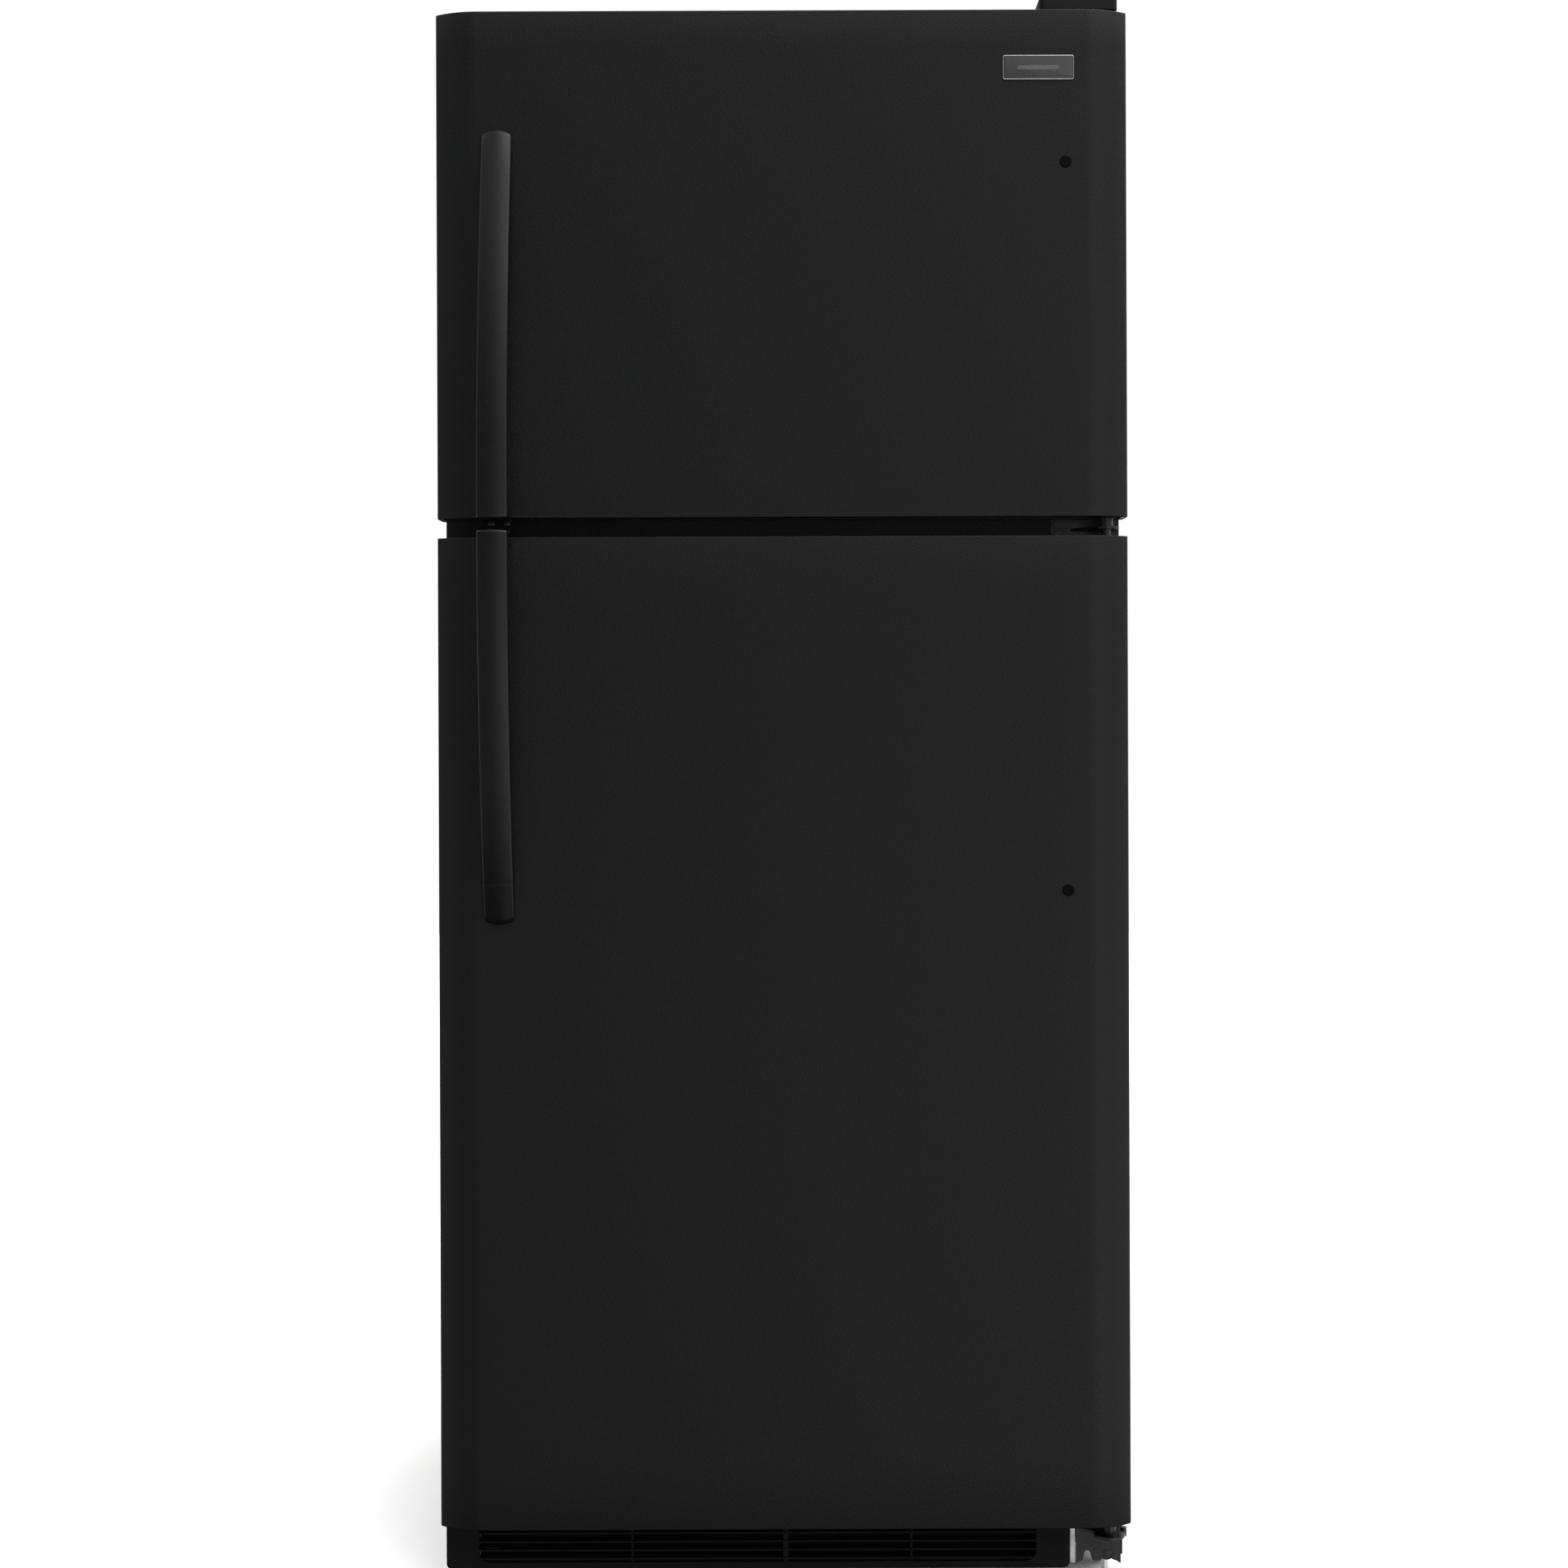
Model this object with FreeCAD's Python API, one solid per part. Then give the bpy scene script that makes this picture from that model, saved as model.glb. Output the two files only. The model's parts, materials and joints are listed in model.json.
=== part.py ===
import FreeCAD, Part
import math, os

# Top freezer refrigerator, free standing, doors hinged on the right.
# +Z up, front faces -Y, X to the right seen from the front.
# Origin: centre of the footprint box, on the floor.
V = FreeCAD.Vector
os.makedirs("parts", exist_ok=True)

# ---------------------------------------------------------------- dimensions
OVER_W = 762.0          # overall width, across the doors
OVER_H = 1765.0         # overall height, to the top of the hinge cover
OVER_D = 813.0          # overall depth, handles included
Y_HANDLE = -OVER_D / 2  # front-most point of the handles
Y_REAR = OVER_D / 2     # rear-most face, the machine room cover
HX = OVER_W / 2         # half width of the doors

YF = -342.5             # front plane of both doors
DOOR_T = 60.0           # door thickness without gasket
YB = YF + DOOR_T        # back plane of the doors
EDGE_R = 75.0           # plan radius that rolls the door front back to its sides
EDGE_X = 334.0          # half width of the flat part of the door front
CORN_R = 5.0            # small radius between that roll and the side
SKIN_T = 1.0            # steel door skin
Z_FZ0, Z_FZ1 = 1189.0, 1745.0   # freezer door, bottom and top
Z_FR0, Z_FR1 = 78.5, 1168.0     # fridge door, bottom and top
CAP_T = 14.0            # door end caps
CAP_IN = 1.0            # caps sit this far inside the skin's ends

HINGE_X, HINGE_Y = 360.0, -303.5   # hinge line of both doors
PIN_R, BORE_R = 5.0, 5.06

CX = 379.0              # half width of the cabinet
CAB_F, CAB_R = -269.5, 404.0       # cabinet front plane and rear plane
Z_CAB0, Z_CAB1 = 24.0, 1747.0      # cabinet sides, bottom and top
SHEET = 1.0             # cabinet steel
LIN_T = 2.0             # liner wall

FR_X, FR_Y1, FR_Z0, FR_Z1 = 335.0, 345.0, 110.0, 1140.0    # fridge compartment
HUMP_Y, HUMP_Z = 118.0, 302.0                             # step over the machine room
FZ_X, FZ_Y1, FZ_Z0, FZ_Z1 = 330.0, 340.0, 1225.0, 1695.0   # freezer compartment
MR_Y, MR_Z = 150.0, 272.0          # machine room, front wall and ceiling

HAND_X = -311.5         # handle centre line
HAND_W = 33.5           # handle width
HAND_L = 429.0          # handle length
HAND_OUT = 64.0         # stand-off of the handle face at its inner end
HAND_END = 8.0          # the same at its outer end
HAND_TK = 16.0          # thickness of the grip
Z_FZH = 1184.0          # inner end of the freezer handle (its foot)
Z_FRH = 1172.8          # inner end of the fridge handle
PLUG_X, PLUG_DZ = 312.0, 35.0      # hole plugs, mirrored from the handle's button

ROLL_R, ROLL_W = 15.0, 16.0        # rollers
AXLE_R, AXLE_BORE = 3.0, 3.06

# ---------------------------------------------------------------- helpers
def box(x0, x1, y0, y1, z0, z1):
    return Part.makeBox(x1 - x0, y1 - y0, z1 - z0, V(x0, y0, z0))

def cyl(x, y, z, r, h, d=(0, 0, 1)):
    return Part.makeCylinder(r, h, V(x, y, z), V(*d))

def cone(x, y, z, r1, r2, h, d=(0, 0, 1)):
    return Part.makeCone(r1, r2, h, V(x, y, z), V(*d))

def fuse(shapes):
    s = shapes[0]
    if len(shapes) > 1:
        s = s.fuse(shapes[1:])
    return s.removeSplitter()

def cut(a, *tools):
    for t in tools:
        a = a.cut(t)
    return a.removeSplitter()

def wire_of(segs):
    # segs: ("l", p0, p1) lines and ("a", p0, pm, p1) arcs
    edges = []
    for s in segs:
        if s[0] == "l":
            edges.append(Part.LineSegment(V(*s[1]), V(*s[2])).toShape())
        else:
            edges.append(Part.Arc(V(*s[1]), V(*s[2]), V(*s[3])).toShape())
    return Part.Wire(Part.__sortEdges__(edges))

def prism_z(segs, z0, z1):
    w = wire_of([(s[0],) + tuple((p[0], p[1], z0) for p in s[1:]) for s in segs])
    return Part.Face(w).extrude(V(0, 0, z1 - z0))

def poly(points, vec):
    w = Part.makePolygon([V(*p) for p in points] + [V(*points[0])])
    return Part.Face(w).extrude(V(*vec))

def fillet(shape, r, pick):
    edges = [e for e in shape.Edges if pick(e)]
    if not edges:
        return shape
    try:
        f = shape.makeFillet(r, edges)
        if f.isValid() and f.Volume > 0:
            return f
    except Exception:
        pass
    print("fillet skipped", r, len(edges))
    return shape

def along(e, axis):
    # straight edge parallel to an axis
    if len(e.Vertexes) < 2 or not isinstance(e.Curve, (Part.Line, Part.LineSegment)):
        return False
    d = e.Vertexes[-1].Point - e.Vertexes[0].Point
    return abs(abs(getattr(d, axis)) - d.Length) < 1e-6 and d.Length > 1e-6

def mid(e):
    return (e.Vertexes[0].Point + e.Vertexes[-1].Point) * 0.5

def out(name, shapes):
    if not isinstance(shapes, (list, tuple)):
        shapes = [shapes]
    solids = []
    for s in shapes:
        solids += s.Solids
    assert solids, name
    for s in solids:
        assert s.isValid() and s.Volume > 0, name
    comp = solids[0] if len(solids) == 1 else Part.makeCompound(solids)
    comp.exportStep("parts/%s.step" % name)
    print("%-24s %2d solid(s) %10.0f mm3" % (name, len(solids), sum(s.Volume for s in solids)))

def rbox(x0, x1, y0, y1, z0, z1, r, axis="z"):
    # box with its four edges along one axis rounded
    return fillet(box(x0, x1, y0, y1, z0, z1), r, lambda e: along(e, axis))

# ---------------------------------------------------------------- doors
def door_segs(t, yb):
    # plan outline of the door inset by t from the outer skin, closed at yb
    r = EDGE_R - t
    q = CORN_R - t
    cy = YF + EDGE_R
    x1, y1 = EDGE_X + 0.6 * r, cy - 0.8 * r
    xm, ym = EDGE_X + r * math.sin(0.32175), cy - r * math.cos(0.32175)
    sx, sy = HX - CORN_R, YF + 19.0
    xs, ys = HX - t, sy
    xq, yq = sx + q * 0.894427, sy - q * 0.447214
    return [("l", (-xs, yb), (-xs, ys)),
            ("a", (-xs, ys), (-xq, yq), (-x1, y1)),
            ("a", (-x1, y1), (-xm, ym), (-EDGE_X, YF + t)),
            ("l", (-EDGE_X, YF + t), (EDGE_X, YF + t)),
            ("a", (EDGE_X, YF + t), (xm, ym), (x1, y1)),
            ("a", (x1, y1), (xq, yq), (xs, ys)),
            ("l", (xs, ys), (xs, yb)),
            ("l", (xs, yb), (-xs, yb))]

def make_door(tag, z0, z1, up, ringz, plug_z, pins):
    # up: +1 when the handle's inner end is at the door's bottom edge
    y_in = YB - SKIN_T                     # inside of the rear hem
    y_pl = y_in - 1.5                      # inside of the liner sheet
    skin = prism_z(door_segs(0, YB), z0, z1)
    skin = skin.cut(prism_z(door_segs(SKIN_T, y_in), z0 - 1, z1 + 1))
    skin = skin.cut(box(-HX + 14, HX - 14, y_in - 0.5, YB + 1, z0 - 1, z1 + 1))
    hole = cyl(PLUG_X, YF - 1, plug_z, 5.0, 14, (0, 1, 0))
    skin = cut(skin, hole)
    # end caps: close the skin at both ends, with the hinge bushing on the right
    zc0, zc1 = z0 + CAP_IN, z1 - CAP_IN
    caps = []
    for a, b in ((zc0, zc0 + CAP_T), (zc1 - CAP_T, zc1)):
        c = prism_z(door_segs(SKIN_T, y_in), a, b)
        # a shallow channel round the cap's outer face
        low = a == zc0
        ch = prism_z(door_segs(SKIN_T + 3.5, y_in - 3.5), (a - 1) if low else (b - 2.5), (a + 2.5) if low else (b + 1))
        boss = cyl(HINGE_X, HINGE_Y, a - 2 if low else b - 4, 11.5, 6)
        rim = box(HAND_X - 22, HAND_X + 22, YF, YF + 30, a - 2, b + 2)
        ch = ch.cut(boss).cut(rim)
        c = c.cut(ch)
        c = c.cut(cyl(HINGE_X, HINGE_Y, a - 1, BORE_R, CAP_T + 2))
        c = c.cut(cyl(-HINGE_X, HINGE_Y, a - 1, 5.0, CAP_T + 2))
        if low == (up > 0):                # pilot holes for the handle's foot screws
            for sx in (-8.5, 8.5):
                c = c.cut(cyl(HAND_X + sx, YF + 11, a - 1, 2.0, CAP_T + 2))
        caps.append(c)
    # liner: a sheet with a raised ring (the dykes) that carries the racks
    rx0, rx1 = 318.0, 296.0
    rz0, rz1 = ringz
    yt = -240.0
    sheet = box(-(HX - SKIN_T), HX - SKIN_T, y_pl, y_in, zc0 + CAP_T, zc1 - CAP_T)
    ringo = box(-rx0, rx0, y_pl, yt, rz0, rz1).cut(box(-rx1, rx1, y_pl - 1, yt + 1, rz0 + 22, rz1 - 22))
    ringo = fillet(ringo, 9, lambda e: along(e, "y") and abs(abs(mid(e).x) - rx0) < 0.1)
    ringi = box(-rx0 + 1.5, rx0 - 1.5, y_pl - 0.5, yt - 1.5, rz0 + 1.5, rz1 - 1.5).cut(
        box(-rx1 - 1.5, rx1 + 1.5, y_pl - 1, yt, rz0 + 20.5, rz1 - 20.5))
    ringi = fillet(ringi, 7.5, lambda e: along(e, "y") and abs(abs(mid(e).x) - rx0 + 1.5) < 0.1)
    liner = sheet.fuse(ringo).cut(ringi).removeSplitter()
    foam = prism_z(door_segs(SKIN_T, y_pl), zc0 + CAP_T, zc1 - CAP_T).fuse(ringi)
    foam = foam.cut(liner).cut(hole)
    for (pz0, pz1) in pins:
        foam = foam.cut(cyl(HINGE_X, HINGE_Y, pz0, 8.0, pz1 - pz0))
    foam = foam.removeSplitter()
    # gasket: base flange, bellows and magnet bulb, in one ring
    gx = 358.0
    gz0, gz1 = (z0 + 8.0, z1 - 20.0) if tag == "freezer" else (z0 + 10.0, z1 - 8.0)
    def ring(inset_o, inset_i, ya, yb_):
        return box(-gx + inset_o, gx - inset_o, ya, yb_, gz0 + inset_o, gz1 - inset_o).cut(
            box(-gx + inset_i, gx - inset_i, ya - 1, yb_ + 1, gz0 + inset_i, gz1 - inset_i))
    gasket = fuse([ring(0, 20, YB - SKIN_T, YB + 3), ring(6, 14, YB + 3, YB + 6), ring(1, 17, YB + 6, CAB_F - 0.3)])
    gasket = gasket.cut(skin).cut(liner)
    out(tag + "_door_skin", skin)
    out(tag + "_door_caps", caps)
    out(tag + "_door_liner", liner)
    out(tag + "_door_foam", foam)
    out(tag + "_door_gasket", gasket)

make_door("freezer", Z_FZ0, Z_FZ1, 1, (1233.0, 1687.0), Z_FZH + HAND_L - PLUG_DZ, ((1203, 1212), (1722, 1731)))
make_door("fridge", Z_FR0, Z_FR1, -1, (120.0, 1130.0), Z_FRH - HAND_L + PLUG_DZ, ((92, 101), (1146, 1154)))

# ---------------------------------------------------------------- handles
def handle(z_in, up):
    # bowed bar; s runs from the outer end (0) to the inner end (HAND_L)
    def z(s):
        return z_in + up * (HAND_L - s)
    rise = HAND_OUT - HAND_END
    rad = (HAND_L ** 2 + rise ** 2) / (2 * rise)
    def d(s):            # stand-off of the face: arc tangent to the door at the inner end
        return HAND_OUT - (rad - math.sqrt(rad ** 2 - (HAND_L - s) ** 2))
    def back(s):
        return d(s) - HAND_TK
    s_b, s_f = 52.0, HAND_L - 15.0
    pf = [(s, d(s)) for s in (0.0, HAND_L / 2, HAND_L)]
    pb = [(s, back(s)) for s in (s_b, (s_b + s_f) / 2, s_f)]
    def P(s, o):
        return (HAND_X - HAND_W / 2, YF - o, z(s))
    edges = [Part.Arc(V(*P(*pf[0])), V(*P(*pf[1])), V(*P(*pf[2]))).toShape()]
    chain = [P(*pf[2]), P(HAND_L, -20.0), P(HAND_L - 4.7, -20.0), P(HAND_L - 4.7, 0.0), P(HAND_L - 13.0, 0.0), P(*pb[2])]
    for a, b in zip(chain, chain[1:]):
        edges.append(Part.LineSegment(V(*a), V(*b)).toShape())
    edges.append(Part.Arc(V(*P(*pb[2])), V(*P(*pb[1])), V(*P(*pb[0]))).toShape())
    chain = [P(*pb[0]), P(s_b - 6.0, 0.0), P(0, 0), P(*pf[0])]
    for a, b in zip(chain, chain[1:]):
        edges.append(Part.LineSegment(V(*a), V(*b)).toShape())
    bar = Part.Face(Part.Wire(Part.__sortEdges__(edges))).extrude(V(HAND_W, 0, 0))
    # arched outer end, barely crowned inner end
    x0, x1 = HAND_X - HAND_W / 2, HAND_X + HAND_W / 2
    def arch(s_mid, s_side):
        a = Part.Arc(V(x0, -500, z(s_side)), V(HAND_X, -500, z(s_mid)), V(x1, -500, z(s_side))).toShape()
        return a
    e = [arch(0.0, 4.6),
         Part.LineSegment(V(x1, -500, z(4.6)), V(x1, -500, z(HAND_L - 0.8))).toShape(),
         Part.Arc(V(x1, -500, z(HAND_L - 0.8)), V(HAND_X, -500, z(HAND_L)), V(x0, -500, z(HAND_L - 0.8))).toShape(),
         Part.LineSegment(V(x0, -500, z(HAND_L - 0.8)), V(x0, -500, z(4.6))).toShape()]
    plan = Part.Face(Part.Wire(Part.__sortEdges__(e))).extrude(V(0, 250, 0))
    bar = bar.common(plan).removeSplitter()
    # the flange under the door edge is narrower than the grip
    for sx in (-1, 1):
        c = box(HAND_X + sx * 14.5 if sx > 0 else HAND_X - 40, HAND_X + 40 if sx > 0 else HAND_X - 14.5,
                YF - 30, YF + 30, min(z(HAND_L) - 1, z(HAND_L - 60)), max(z(HAND_L) + 1, z(HAND_L - 60)))
        bar = bar.cut(c)
    # long front edges broken
    def front_edge(ed):
        m = ed.valueAt((ed.FirstParameter + ed.LastParameter) / 2)
        if abs(abs(m.x - HAND_X) - HAND_W / 2) > 0.05:
            return False
        s = HAND_L - abs(m.z - z_in)
        return abs((YF - m.y) - d(s)) < 0.6 and ed.Length > 300
    bar = fillet(bar, 2.4, front_edge)
    # pocket in the back of the outer end that slides over the dovetail button
    zb0, zb1 = sorted((z(18.0), z(s_b + 8)))
    bar = bar.cut(box(HAND_X - 7.5, HAND_X + 7.5, YF - 6.5, YF + 1, zb0, zb1))
    # screw holes in the flange
    for sx in (-8.5, 8.5):
        h0, h1 = sorted((z(HAND_L + 2), z(HAND_L - 6)))
        bar = bar.cut(cyl(HAND_X + sx, YF + 11, h0, 2.2, h1 - h0))
    return bar.removeSplitter()

def handle_mount(z_in, up):
    # dovetail button with its shoulder screw, and the two foot screws
    zb = z_in + up * (HAND_L - PLUG_DZ)
    button = cyl(HAND_X, YF - 2.2, zb, 4.0, 2.2, (0, 1, 0)).fuse(cyl(HAND_X, YF - 5.4, zb, 6.8, 3.2, (0, 1, 0)))
    button = button.cut(cyl(HAND_X, YF - 6, zb, 2.2, 1.8, (0, 1, 0)))
    screws = []
    for sx in (-8.5, 8.5):
        x, y = HAND_X + sx, YF + 11
        zf = z_in                       # outer face of the flange
        if up > 0:
            sc = fuse([cyl(x, y, zf - 2.4, 4.0, 2.4), cyl(x, y, zf - 0.5, 2.0, 16.5)])
        else:
            sc = fuse([cyl(x, y, zf, 4.0, 2.4), cyl(x, y, zf - 16.0, 2.0, 16.5)])
        screws.append(sc)
    return [button] + screws

lower_handle = handle(0.0, -1)          # both handles are the same moulding, one turned over
upper_handle = lower_handle.mirror(V(0, 0, 0), V(0, 0, 1))
for tag, z_in, up, bar in (("freezer", Z_FZH, 1, upper_handle), ("fridge", Z_FRH, -1, lower_handle)):
    out(tag + "_handle", bar.translated(V(0, 0, z_in)))
    out(tag + "_handle_mount", handle_mount(z_in, up))

# ---------------------------------------------------------------- plugs, badge
def front_plug(zc):
    head = cyl(PLUG_X, YF - 0.5, zc, 6.8, 0.5, (0, 1, 0)).fuse(cone(PLUG_X, YF - 1.4, zc, 5.2, 6.8, 0.9, (0, 1, 0)))
    return fuse([head, cyl(PLUG_X, YF - 0.1, zc, 4.9, 7.0, (0, 1, 0))])

def top_plug(zt):
    # fills the unused bushing on the left of the upper cap
    return fuse([cyl(-HINGE_X, HINGE_Y, zt - 6, 5.0, 6.5), cyl(-HINGE_X, HINGE_Y, zt, 10.5, 1.2),
                 cone(-HINGE_X, HINGE_Y, zt + 1.2, 10.5, 7.0, 1.4)])

Z_PF = Z_FZH + HAND_L - PLUG_DZ
Z_PR = Z_FRH - HAND_L + PLUG_DZ
out("freezer_door_plugs", [front_plug(Z_PF), top_plug(Z_FZ1 + 0.2)])
out("fridge_door_plug", front_plug(Z_PR))
badge = rbox(243.0, 321.0, YF - 2.2, YF, 1667.5, 1694.5, 2.6, "y")
lip = rbox(244.6, 319.4, YF - 3, YF - 1.7, 1669.1, 1692.9, 1.6, "y")
out("badge_plate", badge.cut(lip))

# ---------------------------------------------------------------- door racks
def tray(x0, x1, y0, y1, z0, z1, t, drop=0.0):
    # open-topped tray; drop lowers the wall nearest the compartment
    b = rbox(x0, x1, y0, y1, z0, z1, 6.0).cut(rbox(x0 + t, x1 - t, y0 + t, y1 - t, z0 + t, z1 + 1, 6.0 - t))
    if drop:
        b = b.cut(box(x0 + 12, x1 - 12, y0 - 1, y0 + t + 1, z1 - drop, z1 + 1))
    return b.removeSplitter()

Y_SH = YB - SKIN_T                      # rear face of the door liner sheet
out("freezer_door_racks", [tray(-295, 295, Y_SH, -196, 1262, 1330, 2.2), tray(-295, 295, Y_SH, -196, 1462, 1530, 2.2)])
out("door_bins", [tray(-295, 295, Y_SH, -186, 150, 262, 2.4), tray(-295, 295, Y_SH, -192, 448, 536, 2.4),
                  tray(-295, 295, Y_SH, -192, 716, 804, 2.4), tray(36, 295, Y_SH, -196, 958, 1040, 2.4)])

# dairy box, closed by a flip lid hinged along its top edge
DX0, DX1, DZ0, DZ1 = -295.0, 30.0, 958.0, 1062.0
D_YF = -196.0
LID_Y, LID_Z, LID_R = D_YF + 4.2, DZ1 + 1.0, 2.0
dbox = rbox(DX0, DX1, Y_SH, D_YF, DZ0, DZ1, 5, "y").cut(rbox(DX0 + 2.4, DX1 - 2.4, Y_SH + 2.4, D_YF + 1, DZ0 + 2.4, DZ1 - 2.4, 3, "y"))
ears = []
for a, b in ((DX0 + 8, DX0 + 12), (DX1 - 12, DX1 - 8)):
    ear = box(a, b, D_YF - 14, LID_Y, DZ1 - 2.4, LID_Z + 4).fuse(cyl(a, LID_Y, LID_Z, 4.0, b - a, (1, 0, 0)))
    ear = ear.cut(box(a - 1, b + 1, D_YF - 14.5, LID_Y + 10, DZ1 - 10, DZ1 - 2.4)).cut(box(a - 1, b + 1, D_YF, LID_Y + 10, DZ1 - 10, LID_Z - 4.4))
    ear = ear.cut(cyl(a - 1, LID_Y, LID_Z, LID_R + 0.06, b - a + 2, (1, 0, 0)))
    ears.append(ear)
dbox = fuse([dbox] + ears)
out("dairy_box", dbox)
lid = rbox(DX0 + 0.5, DX1 - 0.5, LID_Y - 1.2, LID_Y + 1.2, DZ0 + 1.0, LID_Z, 4, "y")
barrel = cyl(DX0 + 12.6, LID_Y, LID_Z, 3.4, DX1 - DX0 - 25.2, (1, 0, 0))
pins = cyl(DX0 + 8.2, LID_Y, LID_Z, LID_R, DX1 - DX0 - 16.4, (1, 0, 0))
lid = lid.cut(box(DX0 - 1, DX0 + 12.6, LID_Y - 5, LID_Y + 5, LID_Z - 8, LID_Z + 9)).cut(
    box(DX1 - 12.6, DX1 + 1, LID_Y - 5, LID_Y + 5, LID_Z - 8, LID_Z + 9))
grip = box(-182, -82, LID_Y + 1.2, LID_Y + 9.0, DZ0 + 4, DZ0 + 7)
lid = fuse([lid, barrel, pins, grip])
out("dairy_lid", lid)

# ---------------------------------------------------------------- cabinet
FL_X, FL_FZ, FL_FR = 343.0, (1217.0, 1703.0), (102.0, 1148.0)   # outer edges of the liner flanges
# steel wrapper: two sides, top, and the front flanges the gaskets close on
wr = box(-CX, CX, CAB_F, CAB_R, Z_CAB0, Z_CAB1)
wr = fillet(wr, 6, lambda e: along(e, "y") and mid(e).z > 1700)
core = fillet(box(-CX + SHEET, CX - SHEET, CAB_F + SHEET, CAB_R + 1, Z_CAB0 - 1, Z_CAB1 - SHEET), 5,
              lambda e: along(e, "y") and mid(e).z > 1700)
wr = wr.cut(core).cut(box(-FL_X, FL_X, CAB_F - 1, CAB_F + 2, Z_CAB0 - 1, FL_FZ[1]))
wr = wr.cut(box(-FL_X - 32.5, FL_X + 32.5, CAB_F - 1, CAB_F + 2, Z_CAB0 - 1, 60.0))
rail = box(-FL_X, FL_X, CAB_F, CAB_F + SHEET, 60.0, FL_FR[0])
wr = wr.fuse(rail).removeSplitter()
rear = box(-CX + SHEET, CX - SHEET, CAB_R - SHEET, CAB_R, MR_Z, Z_CAB1 - SHEET)
out("rear_panel", fillet(rear, 5.0, lambda e: along(e, "y") and mid(e).z > 1700))

# liners: open-fronted tubs with a front flange
def tub(x, y1, z0, z1, flange, hump=None, ledges=()):
    yo = CAB_F + 1.2
    o = box(-x - LIN_T, x + LIN_T, yo, y1 + LIN_T, z0 - LIN_T, z1 + LIN_T)
    i = box(-x, x, CAB_F - 1, y1, z0, z1)
    i = fillet(i, 10, lambda e: along(e, "y"))
    if hump:
        i = i.cut(box(-x - 1, x + 1, hump[0], y1 + 1, z0 - 1, hump[1]))
        o = o.cut(box(-x - LIN_T - 1, x + LIN_T + 1, hump[0] + LIN_T, y1 + LIN_T + 1, z0 - LIN_T - 1, hump[1] - LIN_T))
    fl = box(-FL_X, FL_X, CAB_F, yo, flange[0], flange[1])
    s = o.fuse(fl).cut(i)
    for (lz, ly0, ly1) in ledges:
        for sx in (-1, 1):
            a, b = sorted((sx * x, sx * (x - 8.0)))
            s = s.fuse(box(a, b, ly0, ly1, lz - 8, lz))
    return s.removeSplitter(), o, fl

SH_Y0, SH_Y1 = -155.0, 335.0
SHELVES = (630.0, 880.0)        # underside of the two glass shelves
CRISP_Z = 366.0                 # underside of the crisper cover
fr_liner, fr_o, fr_fl = tub(FR_X, FR_Y1, FR_Z0, FR_Z1, FL_FR, (HUMP_Y, HUMP_Z),
                            [(z, SH_Y0 + 5, SH_Y1) for z in SHELVES] + [(CRISP_Z, SH_Y0 + 5, SH_Y1)])
fz_liner, fz_o, fz_fl = tub(FZ_X, FZ_Y1, FZ_Z0, FZ_Z1, FL_FZ, None, [(1440.0, -120.0, 225.0)])
# moulded pocket for the light switch, in the ceiling near the front
SW_X, SW_Z = 210.0, 1121.0
sw = box(SW_X - 11, SW_X + 11, -224, -196, SW_Z - 9, FR_Z1).cut(cyl(SW_X, -225, SW_Z, 4.06, 24, (0, 1, 0)))
fr_liner = fr_liner.fuse(sw).removeSplitter()
out("freezer_liner", fz_liner)

foam = box(-CX + SHEET, CX - SHEET, CAB_F + SHEET, CAB_R - SHEET, 60.0, Z_CAB1 - SHEET)
foam = fillet(foam, 5, lambda e: along(e, "y") and mid(e).z > 1700)
foam = foam.cut(box(-CX, CX, MR_Y, CAB_R, 50, MR_Z))
foam = foam.cut(fr_o).cut(fz_o).cut(fr_fl).cut(fz_fl)
foam = foam.removeSplitter()
mullion = box(-FL_X, FL_X, CAB_F, CAB_F + SHEET, FL_FR[1], FL_FZ[0])

# ---------------------------------------------------------------- base
G_Y = -290.0                    # front plane of the toe grille and hinge bracket
RAIL_X0, RAIL_X1 = 346.0, 376.0
def rail_side(s):
    a, b = sorted((s * RAIL_X0, s * RAIL_X1))
    web0, web1 = sorted((s * (RAIL_X1 - 2), s * RAIL_X1))
    top = box(a, b, -262.0, CAB_R - 6, 56.0, 58.0)
    web = box(web0, web1, -262.0, CAB_R - 6, 30.0, 58.0)
    return [top, web]
cross = [box(-RAIL_X1, RAIL_X1, -262.0, -260.0, 30.0, 60.0), box(-RAIL_X1, RAIL_X1, -262.0, MR_Y - 12, 58.0, 60.0),
         box(-370.0, -346.0, -281.0, -262.0, 48.0, 50.0)]
floor_plate = box(-RAIL_X1, RAIL_X1, MR_Y - 14, CAB_R - 6, 34.0, 36.0)
kick = box(-RAIL_X1, RAIL_X1, MR_Y - 14, MR_Y - 12, 34.0, 60.0)
base = fuse(rail_side(-1) + rail_side(1) + cross + [floor_plate, kick])
# corner where the grille ends: galvanised flange facing the front
flange = fuse([box(317.8, 323.2, G_Y + 1.5, G_Y + 3.0, 21.6, 60.0), box(317.8, 323.2, G_Y + 1.5, -260.0, 58.0, 60.0),
               box(321.7, 323.2, G_Y + 1.5, -262.0, 30.0, 60.0)])
base = fuse([base, flange])
FAN_Y, FAN_Z, FAN_X = 290.0, 150.0, -40.0
base = base.removeSplitter()

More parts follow.
